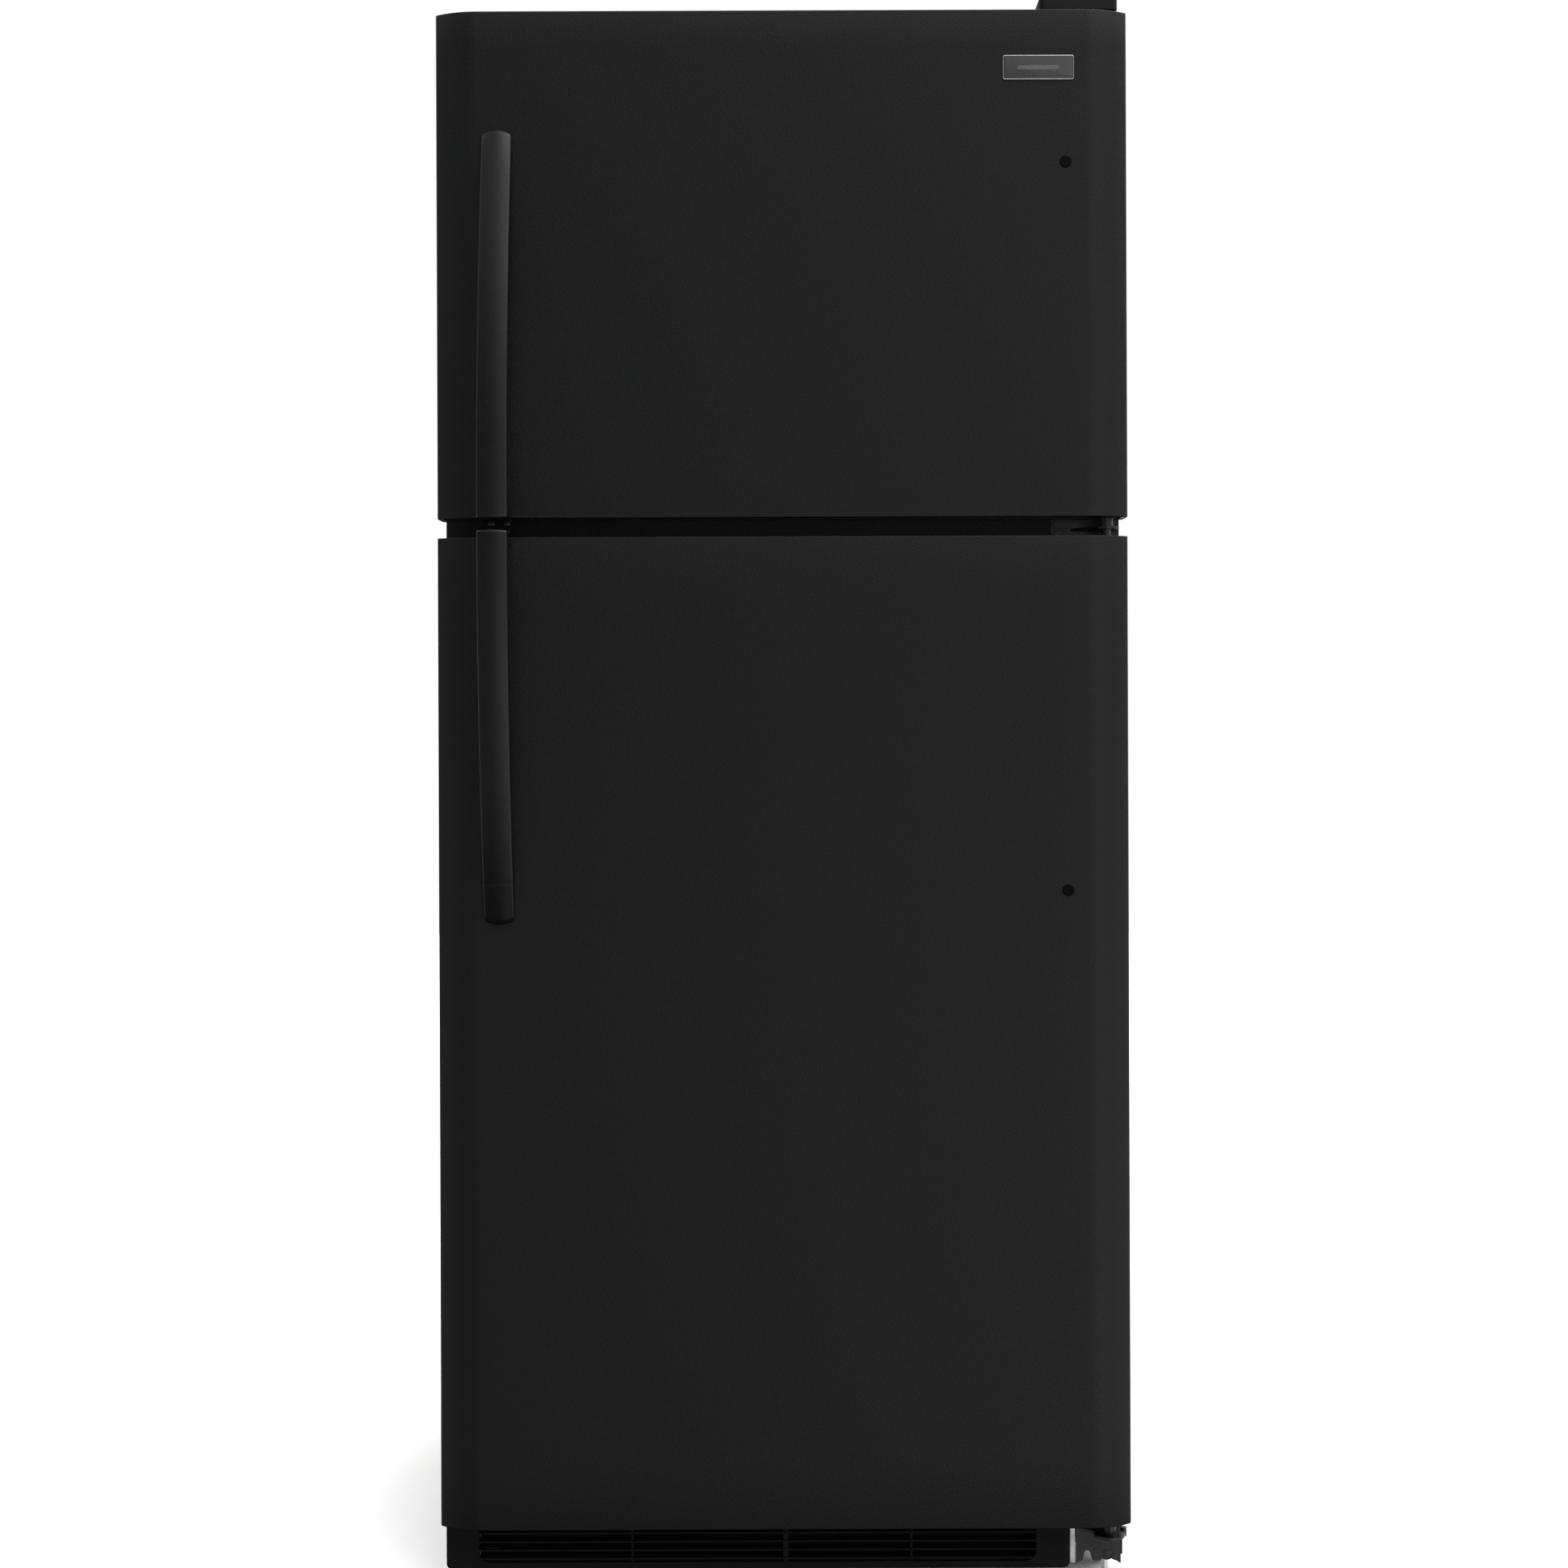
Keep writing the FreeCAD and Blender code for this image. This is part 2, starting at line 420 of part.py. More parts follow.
# rollers on stub axles, two per side
ROLLERS = {"front_left": (-358.0, -226.0, 16.5), "front_right": (358.0, -226.0, 16.5),
           "rear_left": (-358.0, 352.0, 15.0), "rear_right": (358.0, 352.0, 15.0)}
brackets = []
for name, (x, y, z) in ROLLERS.items():
    w = fillet(cyl(x - ROLL_W / 2, y, z, ROLL_R, ROLL_W, (1, 0, 0)), 2.0, lambda e: e.Length > 80)
    w = w.cut(cyl(x - 30, y, z, AXLE_BORE, 60, (1, 0, 0)))
    out("roller_" + name, w)
    lo, hi = x - ROLL_W / 2 - 1.0, x + ROLL_W / 2 + 1.0
    parts_ = [box(lo - 2, lo, y - 13, y + 13, z - 5, 54.0), box(hi, hi + 2, y - 13, y + 13, z - 5, 54.0),
              box(lo - 2, hi + 2, y - 13, y + 13, 54.0, 56.0), cyl(lo - 2, y, z, AXLE_R, hi - lo + 4, (1, 0, 0))]
    br = fuse(parts_)
    brackets.append(br)
    base = base.cut(box(lo - 2, hi + 2, y - 17, y + 17, 33.0, 37.0)) if "rear" in name else base
# levelling legs: pad, stem and the nut plate that carries it
for sx in (-358.0, 358.0):
    leg = fuse([cyl(sx, -272.5, 0.0, 8.5, 5.0), cone(sx, -272.5, 5.0, 8.5, 4.0, 4.0), cyl(sx, -272.5, 4.0, 4.0, 52.0)])
    leg = fuse([leg, box(sx - 10, sx + 10, -280.5, -264.5, 44.0, 48.0)])
    brackets.append(leg)
out("roller_brackets", brackets)
base = base.cut(cyl(-358.0, -272.5, 40, 4.2, 20)).removeSplitter()

# ---------------------------------------------------------------- hinges
def hinge_leaf(x0, zlo, zhi, y0, r):
    # flat leaf from the cabinet out to a round end about the hinge line
    p = [(x0, y0, zlo), (HINGE_X + r, y0, zlo), (HINGE_X + r, HINGE_Y, zlo), (HINGE_X, HINGE_Y - r, zlo), (HINGE_X - r, HINGE_Y, zlo),
         (HINGE_X - r, HINGE_Y + 8, zlo)]
    s = poly(p, (0, 0, zhi - zlo)).fuse(cyl(HINGE_X, HINGE_Y, zlo, r, zhi - zlo))
    return s

screws = []
def screw(x, y, z, d, r=2.4, head=4.6, hh=2.2, length=12.0):
    # pan head outside the face, shank going in along d
    dx, dy, dz = d
    s = cyl(x, y, z, r, length, d).fuse(cyl(x - dx * hh, y - dy * hh, z - dz * hh, head, hh, d))
    screws.append(s)
    return cyl(x, y, z, r, length, d)

# top hinge: plate on the cabinet roof, pin down into the freezer door
TH_Y1 = -222.0
th = fuse([hinge_leaf(318.0, Z_CAB1, Z_CAB1 + 3.0, TH_Y1, 14.0), cyl(HINGE_X, HINGE_Y, Z_FZ1 - 13.0, PIN_R, 13.0 + 5.0)])
th_holes = [screw(x, y, Z_CAB1 + 3.0, (0, 0, -1)) for x, y in ((328.0, -232.0), (364.0, -232.0), (346.0, -252.0))]
th = cut(th, *th_holes)
out("top_hinge", th)
# middle hinge: bracket on the cabinet front between the doors, pins up and down
mh_z = 1177.0
mh = fuse([hinge_leaf(322.0, mh_z, mh_z + 3.0, CAB_F, 14.5), box(302.0, 374.5, CAB_F - 2.5, CAB_F, 1166.5, 1190.5),
           cyl(HINGE_X, HINGE_Y, mh_z + 3.0, 7.5, Z_FZ0 + CAP_IN - 0.4 - mh_z - 3.0), cyl(HINGE_X, HINGE_Y, mh_z + 3.0, PIN_R, 22.0),
           cyl(HINGE_X, HINGE_Y, Z_FR1 - 13.0, PIN_R, mh_z - Z_FR1 + 13.0)])
mh_holes = [screw(x, CAB_F - 2.5, z, (0, 1, 0)) for x, z in ((309.5, 1172.0), (309.5, 1185.0))]
mh = cut(mh, *mh_holes)
out("middle_hinge", mh)
# bottom hinge: bracket below the fridge door, beside the grille
BH_Z = 57.0
face = box(324.4, 374.4, G_Y + 1.0, G_Y + 4.0, 18.0, BH_Z + 3.0)
# lower edge of the bracket: flared notch, flat, round lobe under the pivot boss, a tip at each end
edge = [(320.0, 0.0), (320.0, 6.0), (325.1, 6.0), (327.3, 7.8), (330.9, 9.2), (332.7, 14.3), (333.4, 18.2), (334.9, 20.1), (337.0, 20.7),
        (339.0, 20.0), (340.2, 17.9), (341.3, 12.8), (343.1, 9.2), (352.1, 9.6), (353.9, 11.4), (356.1, 10.3), (358.9, 9.8), (361.8, 10.5),
        (363.6, 11.4), (366.1, 10.0), (369.7, 8.9), (373.0, 6.4), (376.0, 6.2), (376.0, 0.0)]
face = face.cut(poly([(x, G_Y, z + 14.7 if z else 10.0) for x, z in edge], (0, 5, 0)))
face = face.cut(cyl(358.8, G_Y, 33.4, 7.4, 1.8, (0, 1, 0))).fuse(cyl(358.8, G_Y + 0.6, 32.0, 3.4, 2.0, (0, 1, 0)))
bh = fuse([face, hinge_leaf(326.0, BH_Z, BH_Z + 3.0, G_Y + 2, 17.0), box(326.0, 374.4, G_Y + 2, -262.0, BH_Z + 0.0, BH_Z + 3.0),
           box(326.0, 374.4, -264.5, -262.0, 36.0, BH_Z + 3.0),
           cyl(HINGE_X, HINGE_Y, BH_Z + 3.0, 7.5, Z_FR0 + CAP_IN - 0.4 - BH_Z - 3.0), cyl(HINGE_X, HINGE_Y, BH_Z + 3.0, PIN_R, 31.0),
           box(370.0, 378.0, -296.0, -289.0, BH_Z, BH_Z + 3.0), cyl(377.0, -292.5, BH_Z - 4.0, 3.5, 10.0)])
bh = bh.cut(cyl(358.0, -272.5, 30, 4.2, 40)).cut(box(347.5, 368.5, -281.0, -264.5, 30, 49))
bh_holes = [screw(x, -264.5, 50.0, (0, 1, 0), length=8.0) for x in (334.0, 342.5)]
bh = cut(bh, *bh_holes)
out("bottom_hinge", bh)

# top hinge cover: thin moulded cap, open below
HC = (286.0, 372.0, -324.0, -206.0, 1750.6, OVER_H)
hc = rbox(*HC, 5.0)
hc = fillet(hc, 2.2, lambda e: abs(mid(e).z - OVER_H) < 0.01)
hc = hc.cut(rbox(HC[0] + 1.8, HC[1] - 1.8, HC[2] + 1.8, HC[3] - 1.8, HC[4] - 1, HC[5] - 1.8, 3.2))
post = fuse([cyl(300.0, -232.0, Z_CAB1, 4.0, HC[5] - 1.8 - Z_CAB1), box(296.5, 303.5, -212.0, HC[3] - 1.8, Z_CAB1, HC[5] - 1.8)])
hc = fuse([hc, post])
out("top_hinge_cover", hc)

# ---------------------------------------------------------------- toe grille
gx0, gx1, gz0, gz1 = -380.0, 317.0, 16.6, 70.0
gr = box(gx0, gx1, G_Y, G_Y + 3.0, gz0, gz1)
gr = fillet(gr, 7.0, lambda e: along(e, "y") and mid(e).z < 20)
slot = box(-344.0, 280.0, G_Y - 1, G_Y + 4, 24.0, 62.0)
slot = fillet(slot, 13.0, lambda e: along(e, "y") and mid(e).z < 30)
slot = fillet(slot, 5.0, lambda e: along(e, "y") and mid(e).z > 60)
gr = gr.cut(slot)
bars = []
for i in range(4):
    zc = 28.5 + 9.5 * i
    bars.append(poly([(-345.0, G_Y + 0.6, zc - 1.6), (-345.0, G_Y + 0.6, zc + 0.2), (-345.0, G_Y + 9.0, zc + 2.2), (-345.0, G_Y + 9.0, zc + 0.8)], (626.0, 0, 0)))
ribs = [box(x - w, x + w, G_Y + 2.0, G_Y + 9.0, 23.0, 63.0) for x, w in ((-0.5, 3.0), (-172.0, 1.2), (140.0, 1.2), (-344.4, 0.9), (280.4, 0.9))]
clip = [box(x - 8, x + 8, G_Y + 3.0, -262.0, 38.2, 40.2) for x in (-330.0, 299.0)]
hem = [box(gx0 + 7, gx1 - 7, G_Y + 2.0, G_Y + 12.0, gz0, gz0 + 2.0), box(gx0, gx0 + 2.0, G_Y + 2.0, G_Y + 14.0, gz0 + 7, gz1),
       box(gx0, gx1, G_Y + 2.0, G_Y + 14.0, gz1 - 2.0, gz1)]
gr = fuse([gr] + bars + ribs + hem + clip)
gr = gr.cut(box(-370.0, -346.0, -281.0, -264.0, 0, 49))
out("toe_grille", gr)

# ---------------------------------------------------------------- machine room
c_x, c_y = 205.0, 286.0
shell = fuse([cyl(c_x, c_y, 74.0, 78.0, 92.0), cyl(c_x, c_y, 124.0, 82.0, 7.0)])
dome = Part.makeSphere(95.0, V(c_x, c_y, 112.0)).common(cyl(c_x, c_y, 166.0, 78.0, 60.0))
bowl = Part.makeSphere(95.0, V(c_x, c_y, 134.0)).common(cyl(c_x, c_y, 30.0, 78.0, 44.0))
feet = box(c_x - 105, c_x + 105, c_y - 70, c_y + 70, 46.0, 49.0)
relay = rbox(c_x + 70, c_x + 112, c_y - 34, c_y + 34, 84.0, 146.0, 6)
stubs = [cyl(c_x - 60, c_y - 48, 130.0, 4.0, 56.0), cyl(c_x - 40, c_y - 60, 130.0, 3.0, 46.0)]
comp = fuse([shell, dome, bowl, feet, relay] + stubs)
grom = []
for sx in (-92, 92):
    for sy in (-56, 56):
        comp = comp.cut(cyl(c_x + sx, c_y + sy, 40, 5.0, 12))
        g = fuse([cyl(c_x + sx, c_y + sy, 36.0, 10.0, 10.0), cyl(c_x + sx, c_y + sy, 46.0, 5.0, 3.0), cyl(c_x + sx, c_y + sy, 49.0, 8.5, 4.0)])
        grom.append(g)
out("compressor", [comp.removeSplitter()] + grom)

# forced-air condenser: tube passes through plate fins
def fin_coil(x0, x1, y0, y1, z0, z1, pitch, fin_t, rows, tube_r, step):
    fins = []
    n = int((x1 - x0 - 20) / pitch)
    for i in range(n + 1):
        x = x0 + 10 + i * pitch
        fins.append(box(x, x + fin_t, y0, y1, z0, z1))
    tubes = []
    for y in rows:
        z = z0 + step / 2
        while z < z1:
            tubes.append(cyl(x0, y, z, tube_r, x1 - x0, (1, 0, 0)))
            z += step
    return fuse(tubes + fins)

out("condenser_coil", fin_coil(-342.0, -112.0, 205.0, 375.0, 58.0, 236.0, 18.0, 0.8, (225.0, 265.0, 315.0, 355.0), 3.2, 29.5))
shroud = box(FAN_X - 9, FAN_X + 9, 196.0, 384.0, 36.0, 262.0).cut(cyl(FAN_X - 20, FAN_Y, FAN_Z, 84.0, 40, (1, 0, 0)))
arms = [box(FAN_X + 6, FAN_X + 9, FAN_Y - 86, FAN_Y + 86, FAN_Z - 6, FAN_Z + 6), box(FAN_X + 6, FAN_X + 9, FAN_Y - 6, FAN_Y + 6, FAN_Z - 86, FAN_Z + 86)]
motor = fuse([cyl(FAN_X + 9, FAN_Y, FAN_Z, 24.0, 34.0, (1, 0, 0)), cyl(FAN_X - 8, FAN_Y, FAN_Z, AXLE_R, 20.0, (1, 0, 0))])
out("condenser_fan_shroud", fuse([shroud] + arms + [motor]))

def fan(cx, cy, cz, axis, hub_r, hub_l, tip_r, blades, pitch_deg, chord, t=1.6):
    # hub bored for its shaft, flat pitched blades; built along +X then turned
    hub = cyl(0, 0, 0, hub_r, hub_l, (1, 0, 0))
    s = [hub]
    for k in range(blades):
        b = box(-chord / 2, chord / 2, -t / 2, t / 2, hub_r - 2.5, tip_r)
        b = fillet(b, 8, lambda e: along(e, "y") and mid(e).z > tip_r - 1)
        b.rotate(V(0, 0, 0), V(0, 0, 1), pitch_deg)
        b.translate(V(hub_l / 2, 0, 0))
        b.rotate(V(0, 0, 0), V(1, 0, 0), 360.0 * k / blades)
        s.append(b)
    f = fuse(s).cut(cyl(-5, 0, 0, AXLE_BORE, hub_l + 10, (1, 0, 0))).removeSplitter()
    if axis == "y":
        f.rotate(V(0, 0, 0), V(0, 0, 1), 90)
    f.translate(V(cx, cy, cz))
    return f

out("condenser_fan", fan(FAN_X - 9.0, FAN_Y, FAN_Z, "x", 18.0, 13.0, 78.0, 5, 60.0, 22.0))
pan = box(-344.0, -106.0, 196.0, 384.0, 36.0, 56.0).cut(box(-341.6, -108.4, 198.4, 381.6, 38.4, 60.0))
out("drain_pan", pan.removeSplitter())

# tubing: discharge line to the condenser, suction line up the back
def tube(points, r):
    s = []
    for a, b in zip(points, points[1:]):
        a, b = V(*a), V(*b)
        s.append(Part.makeCylinder(r, (b - a).Length, a, b - a))
    for p in points[1:-1]:
        s.append(Part.makeSphere(r, V(*p)))
    return fuse(s)

t1 = tube([(c_x - 60, c_y - 48, 186.0), (c_x - 60, c_y - 48, 214.0), (c_x - 60, 176.0, 214.0), (-350.0, 176.0, 214.0), (-350.0, 265.0, 214.0), (-350.0, 265.0, 161.3)], 3.2)
t2 = tube([(c_x - 40, c_y - 60, 176.0), (c_x - 40, c_y - 60, 240.0), (c_x - 40, 393.0, 240.0), (c_x - 40, 393.0, MR_Z - 0.0)], 3.2)
drier = cyl(40.0, 176.0, 188.0, 9.0, 120.0, (-1, 0, 0))
t3 = fuse([drier, tube([(-80.0, 176.0, 188.0), (-100.0, 176.0, 188.0), (-100.0, 176.0, 211.5)], 3.0)])
out("refrigerant_tubing", [t1.fuse(t3).removeSplitter(), t2])

# machine room cover at the back, with louvre slots
cov = box(-372.0, 372.0, CAB_R, Y_REAR, 40.0, 286.0)
cov = fillet(cov, 8, lambda e: along(e, "y"))
for z in [70.0 + 15.0 * i for i in range(11)]:
    for xa, xb in ((-330.0, -130.0), (-100.0, 20.0), (130.0, 300.0)):
        cov = cov.cut(rbox(xa, xb, CAB_R - 1, Y_REAR + 1, z, z + 5.0, 2.4, "y"))
out("rear_cover", cov.cut(cyl(340.0, CAB_R - 5, 100.0, 9.0, 20, (0, 1, 0))).removeSplitter())
# cord inlet: grommet in the cover where the power cord enters
out("cord_bushing", fuse([cyl(340.0, CAB_R - 3.0, 100.0, 8.9, 5.3, (0, 1, 0)), cyl(340.0, CAB_R - 4.5, 100.0, 12.0, 4.5, (0, 1, 0))]).cut(
    cyl(340.0, CAB_R - 10, 100.0, 4.5, 20, (0, 1, 0))))

# ---------------------------------------------------------------- freezer fittings
# evaporator behind its cover, with the fan blowing into the compartment
EV_Y, EF_Z = 235.0, 1590.0
cover = box(-FZ_X + 1.0, FZ_X - 1.0, EV_Y, EV_Y + 2.0, FZ_Z0 + 1.0, FZ_Z1 - 1.0)
cover = fillet(cover, 9, lambda e: along(e, "y"))
cover = cover.cut(cyl(0, EV_Y - 5, EF_Z, 56.0, 20, (0, 1, 0)))
bars = []
for i in range(-4, 5):
    h = math.sqrt(57.0 ** 2 - (12.0 * i) ** 2)
    bars.append(box(-h, h, EV_Y, EV_Y + 2.0, EF_Z + 12.0 * i - 1.2, EF_Z + 12.0 * i + 1.2))
bars.append(box(-1.5, 1.5, EV_Y, EV_Y + 2.0, EF_Z - 57, EF_Z + 57))
rim = cyl(0, EV_Y - 2.0, EF_Z, 62.0, 3.0, (0, 1, 0)).cut(cyl(0, EV_Y - 5, EF_Z, 56.0, 20, (0, 1, 0)))
for x in range(-7, 8):
    cover = cover.cut(rbox(x * 38 - 12.0, x * 38 + 12.0, EV_Y - 1, EV_Y + 3, 1236.0, 1252.0, 2.0, "y"))
cover = fuse([cover, rim] + bars)
out("evaporator_cover", cover)
out("evaporator_coil", [fin_coil(-236.0, 236.0, 262.0, 322.0, 1300.0, 1486.0, 22.0, 0.8, (277.0, 307.0), 4.0, 31.0),
                        tube([(-236.0, 292.0, 1284.0), (236.0, 292.0, 1284.0)], 3.5)])
ef_motor = fuse([cyl(0, EV_Y + 40.0, EF_Z, 24.0, 30.0, (0, 1, 0)), cyl(0, EV_Y + 18.0, EF_Z, AXLE_R, 24.0, (0, 1, 0)),
                 box(-78, 78, EV_Y + 52.0, EV_Y + 55.0, EF_Z - 9, EF_Z + 9),
                 box(-78, -75, EV_Y + 2.0, EV_Y + 55.0, EF_Z - 9, EF_Z + 9), box(75, 78, EV_Y + 2.0, EV_Y + 55.0, EF_Z - 9, EF_Z + 9)])
out("evaporator_fan_motor", ef_motor)
out("evaporator_fan", fan(0, EV_Y + 19.0, EF_Z, "y", 15.0, 12.0, 50.0, 4, 62.0, 24.0))
# wire shelf: cross wires under a frame of thicker rod
SY0, SY1, SZ = -118.0, 222.0, 1440.0
wires = [box(x - 1.6, x + 1.6, SY0, SY1, SZ + 3.0, SZ + 6.2) for x in [-315.0 + 21.0 * i for i in range(31)]]
rods = [box(-326.0, 326.0, y - 2.4, y + 2.4, SZ, SZ + 4.8) for y in (SY0 + 6, SY0 + 115, SY0 + 225, SY1 - 6)]
sides = [box(x - 2.8, x + 2.8, SY0, SY1, SZ, SZ + 5.6) for x in (-326.0, 326.0)]
out("freezer_shelf", fuse(rods + sides + wires))

# ---------------------------------------------------------------- fridge fittings
frames, glass = [], []
def shelf(z, y0, y1, h=12.0, bar_x=None):
    o = rbox(-326.5, 326.5, y0, y1, z, z + h, 8)
    g = (-316.0, 316.0, y0 + 12.0, y1 - 10.0, z + h - 5.0, z + h - 1.0)
    o = o.cut(box(*g)).cut(box(g[0], g[1], g[2], g[3], z + h - 2, z + h + 1))
    o = o.cut(rbox(-308.0, 308.0, y0 + 20.0, y1 - 18.0, z - 1, z + h, 6))
    frames.append(o.removeSplitter())
    glass.append(box(*g))
for z in SHELVES:
    shelf(z, SH_Y0, SH_Y1)
shelf(CRISP_Z, SH_Y0, SH_Y1, 14.0)
# hanger between the drawers, with a rail foot under each drawer's inner rim
hang = fuse([box(-2.0, 2.0, SH_Y0 + 2, 108.0, FR_Z0, CRISP_Z), box(-7.0, 7.0, SH_Y0 + 2, 108.0, CRISP_Z - 4.0, CRISP_Z)])
hang = hang.cut(rbox(-3, 3, SH_Y0 + 40, 70, FR_Z0 + 40, CRISP_Z - 50, 20, "x"))
frames[2] = fuse([frames[2], box(-8.0, 8.0, SH_Y0 + 2, 335.0 - 10, CRISP_Z, CRISP_Z + 8.9)])
frames.append(hang.removeSplitter())
out("shelf_frames", frames)
out("shelf_glass", glass)

# crisper drawers
def crisper(x0, x1):
    z0, z1 = 116.0, 352.0
    y0, y1 = -150.0, 104.0
    b = rbox(x0, x1, y0, y1, z0, z1, 12).cut(rbox(x0 + 2.4, x1 - 2.4, y0 + 2.4, y1 - 2.4, z0 + 2.4, z1 + 1, 9.6))
    front = rbox(x0, x1, y0, y0 + 4.0, z0, z1 + 6.0, 4, "y")
    pull = box((x0 + x1) / 2 - 70, (x0 + x1) / 2 + 70, y0 - 9.0, y0 + 0.5, z1 - 2.0, z1 + 2.0)
    lip = box((x0 + x1) / 2 - 70, (x0 + x1) / 2 + 70, y0 - 9.0, y0 - 6.6, z1 - 16.0, z1 + 2.0)
    runners = [box(x, x + 3.0, y0 + 10, y1 - 10, FR_Z0 + 0.6, z0 + 0.5) for x in (x0 + 24, x1 - 27)]
    return fuse([b, front, pull, lip] + runners)
out("crisper_left", crisper(-322.0, -9.0))
out("crisper_right", crisper(9.0, 322.0))

# control housing under the ceiling, its knob and lamp lens
CH = (-130.0, 130.0, 60.0, 190.0, 1090.0, FR_Z1)
ch = rbox(*CH, 10)
ch = ch.cut(box(CH[0] + 2.5, CH[1] - 2.5, CH[2] + 2.5, CH[3] - 2.5, CH[4] - 1, CH[5] - 2.5))
KN = (78.0, CH[2], 1116.0)
ch = fuse([ch, cyl(KN[0], KN[1] - 12.0, KN[2], AXLE_R, 16.0, (0, 1, 0)), cyl(KN[0], KN[1] + 1.0, KN[2], 8.0, 12.0, (0, 1, 0))])
out("control_housing", ch)
knob = fillet(cyl(KN[0], KN[1] - 16.0, KN[2], 17.0, 15.5, (0, 1, 0)), 1.6, lambda e: e.Length > 90 and e.CenterOfMass.y < KN[1] - 10)
knob = knob.cut(box(KN[0] - 20, KN[0] - 3.2, KN[1] - 17, KN[1] - 8.0, KN[2] - 20, KN[2] + 20).common(cyl(KN[0], KN[1] - 17, KN[2], 14.5, 9.0, (0, 1, 0))))
knob = knob.cut(box(KN[0] + 3.2, KN[0] + 20, KN[1] - 17, KN[1] - 8.0, KN[2] - 20, KN[2] + 20).common(cyl(KN[0], KN[1] - 17, KN[2], 14.5, 9.0, (0, 1, 0))))
knob = knob.cut(cyl(KN[0], KN[1] - 12.2, KN[2], AXLE_BORE, 20, (0, 1, 0)))
out("temperature_knob", knob.removeSplitter())
lens = rbox(CH[0] + 3.0, CH[1] - 3.0, CH[2] + 3.0, CH[3] - 3.0, CH[4], CH[4] + 2.5, 8)
bulb = [cyl(-60.0, 128.0, CH[4] + 26.0, 7.0, 30.0, (1, 0, 0)), Part.makeSphere(15.0, V(-22.0, 128.0, CH[4] + 26.0)),
        box(-82.0, -60.0, 116.0, 140.0, CH[4] + 12.0, CH[5] - 2.5)]
out("interior_light", [lens, fuse(bulb)])
# light switch plunger, held in by the closed door
pl = fillet(cyl(SW_X, -238.8, SW_Z, 4.0, 36.0, (0, 1, 0)), 1.2, lambda e: e.Length > 20 and e.CenterOfMass.y < -230)
out("light_switch_plunger", pl)

out("hinge_screws", screws)

# steel and foam carry the hinge screws
def drilled(shape):
    for sc in screws:
        if shape.BoundBox.intersect(sc.BoundBox):
            shape = shape.cut(sc)
    return shape.removeSplitter()
out("cabinet_wrapper", drilled(wr))
out("fridge_liner", drilled(fr_liner))
out("cabinet_foam", drilled(foam))
out("center_mullion", drilled(mullion))
out("base_pan", drilled(base))
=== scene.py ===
import bpy, bmesh, json, math, random
from mathutils import Vector, Matrix


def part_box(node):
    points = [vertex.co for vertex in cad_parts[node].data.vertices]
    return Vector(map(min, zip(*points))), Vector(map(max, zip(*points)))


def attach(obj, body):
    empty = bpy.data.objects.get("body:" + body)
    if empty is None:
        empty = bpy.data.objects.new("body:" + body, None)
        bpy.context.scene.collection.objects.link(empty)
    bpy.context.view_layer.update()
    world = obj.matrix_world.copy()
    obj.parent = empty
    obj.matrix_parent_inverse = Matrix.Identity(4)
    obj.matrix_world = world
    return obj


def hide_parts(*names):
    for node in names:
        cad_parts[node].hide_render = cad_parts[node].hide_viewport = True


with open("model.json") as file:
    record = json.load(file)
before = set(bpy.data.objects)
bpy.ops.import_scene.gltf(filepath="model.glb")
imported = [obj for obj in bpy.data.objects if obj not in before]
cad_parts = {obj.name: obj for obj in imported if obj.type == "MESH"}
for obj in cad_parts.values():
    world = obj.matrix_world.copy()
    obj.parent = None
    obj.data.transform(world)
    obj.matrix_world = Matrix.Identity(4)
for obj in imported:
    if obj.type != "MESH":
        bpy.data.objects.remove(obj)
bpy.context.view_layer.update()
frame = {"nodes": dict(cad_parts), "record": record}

MM = 0.001
sc = bpy.context.scene

# ------------------------------------------------------------------ materials
def srgb(v):
    v = v / 255.0
    return v / 12.92 if v <= 0.04045 else ((v + 0.055) / 1.055) ** 2.4

def grey(v, tint=(1, 1, 1)):
    g = srgb(v)
    return (g * tint[0], g * tint[1], g * tint[2])

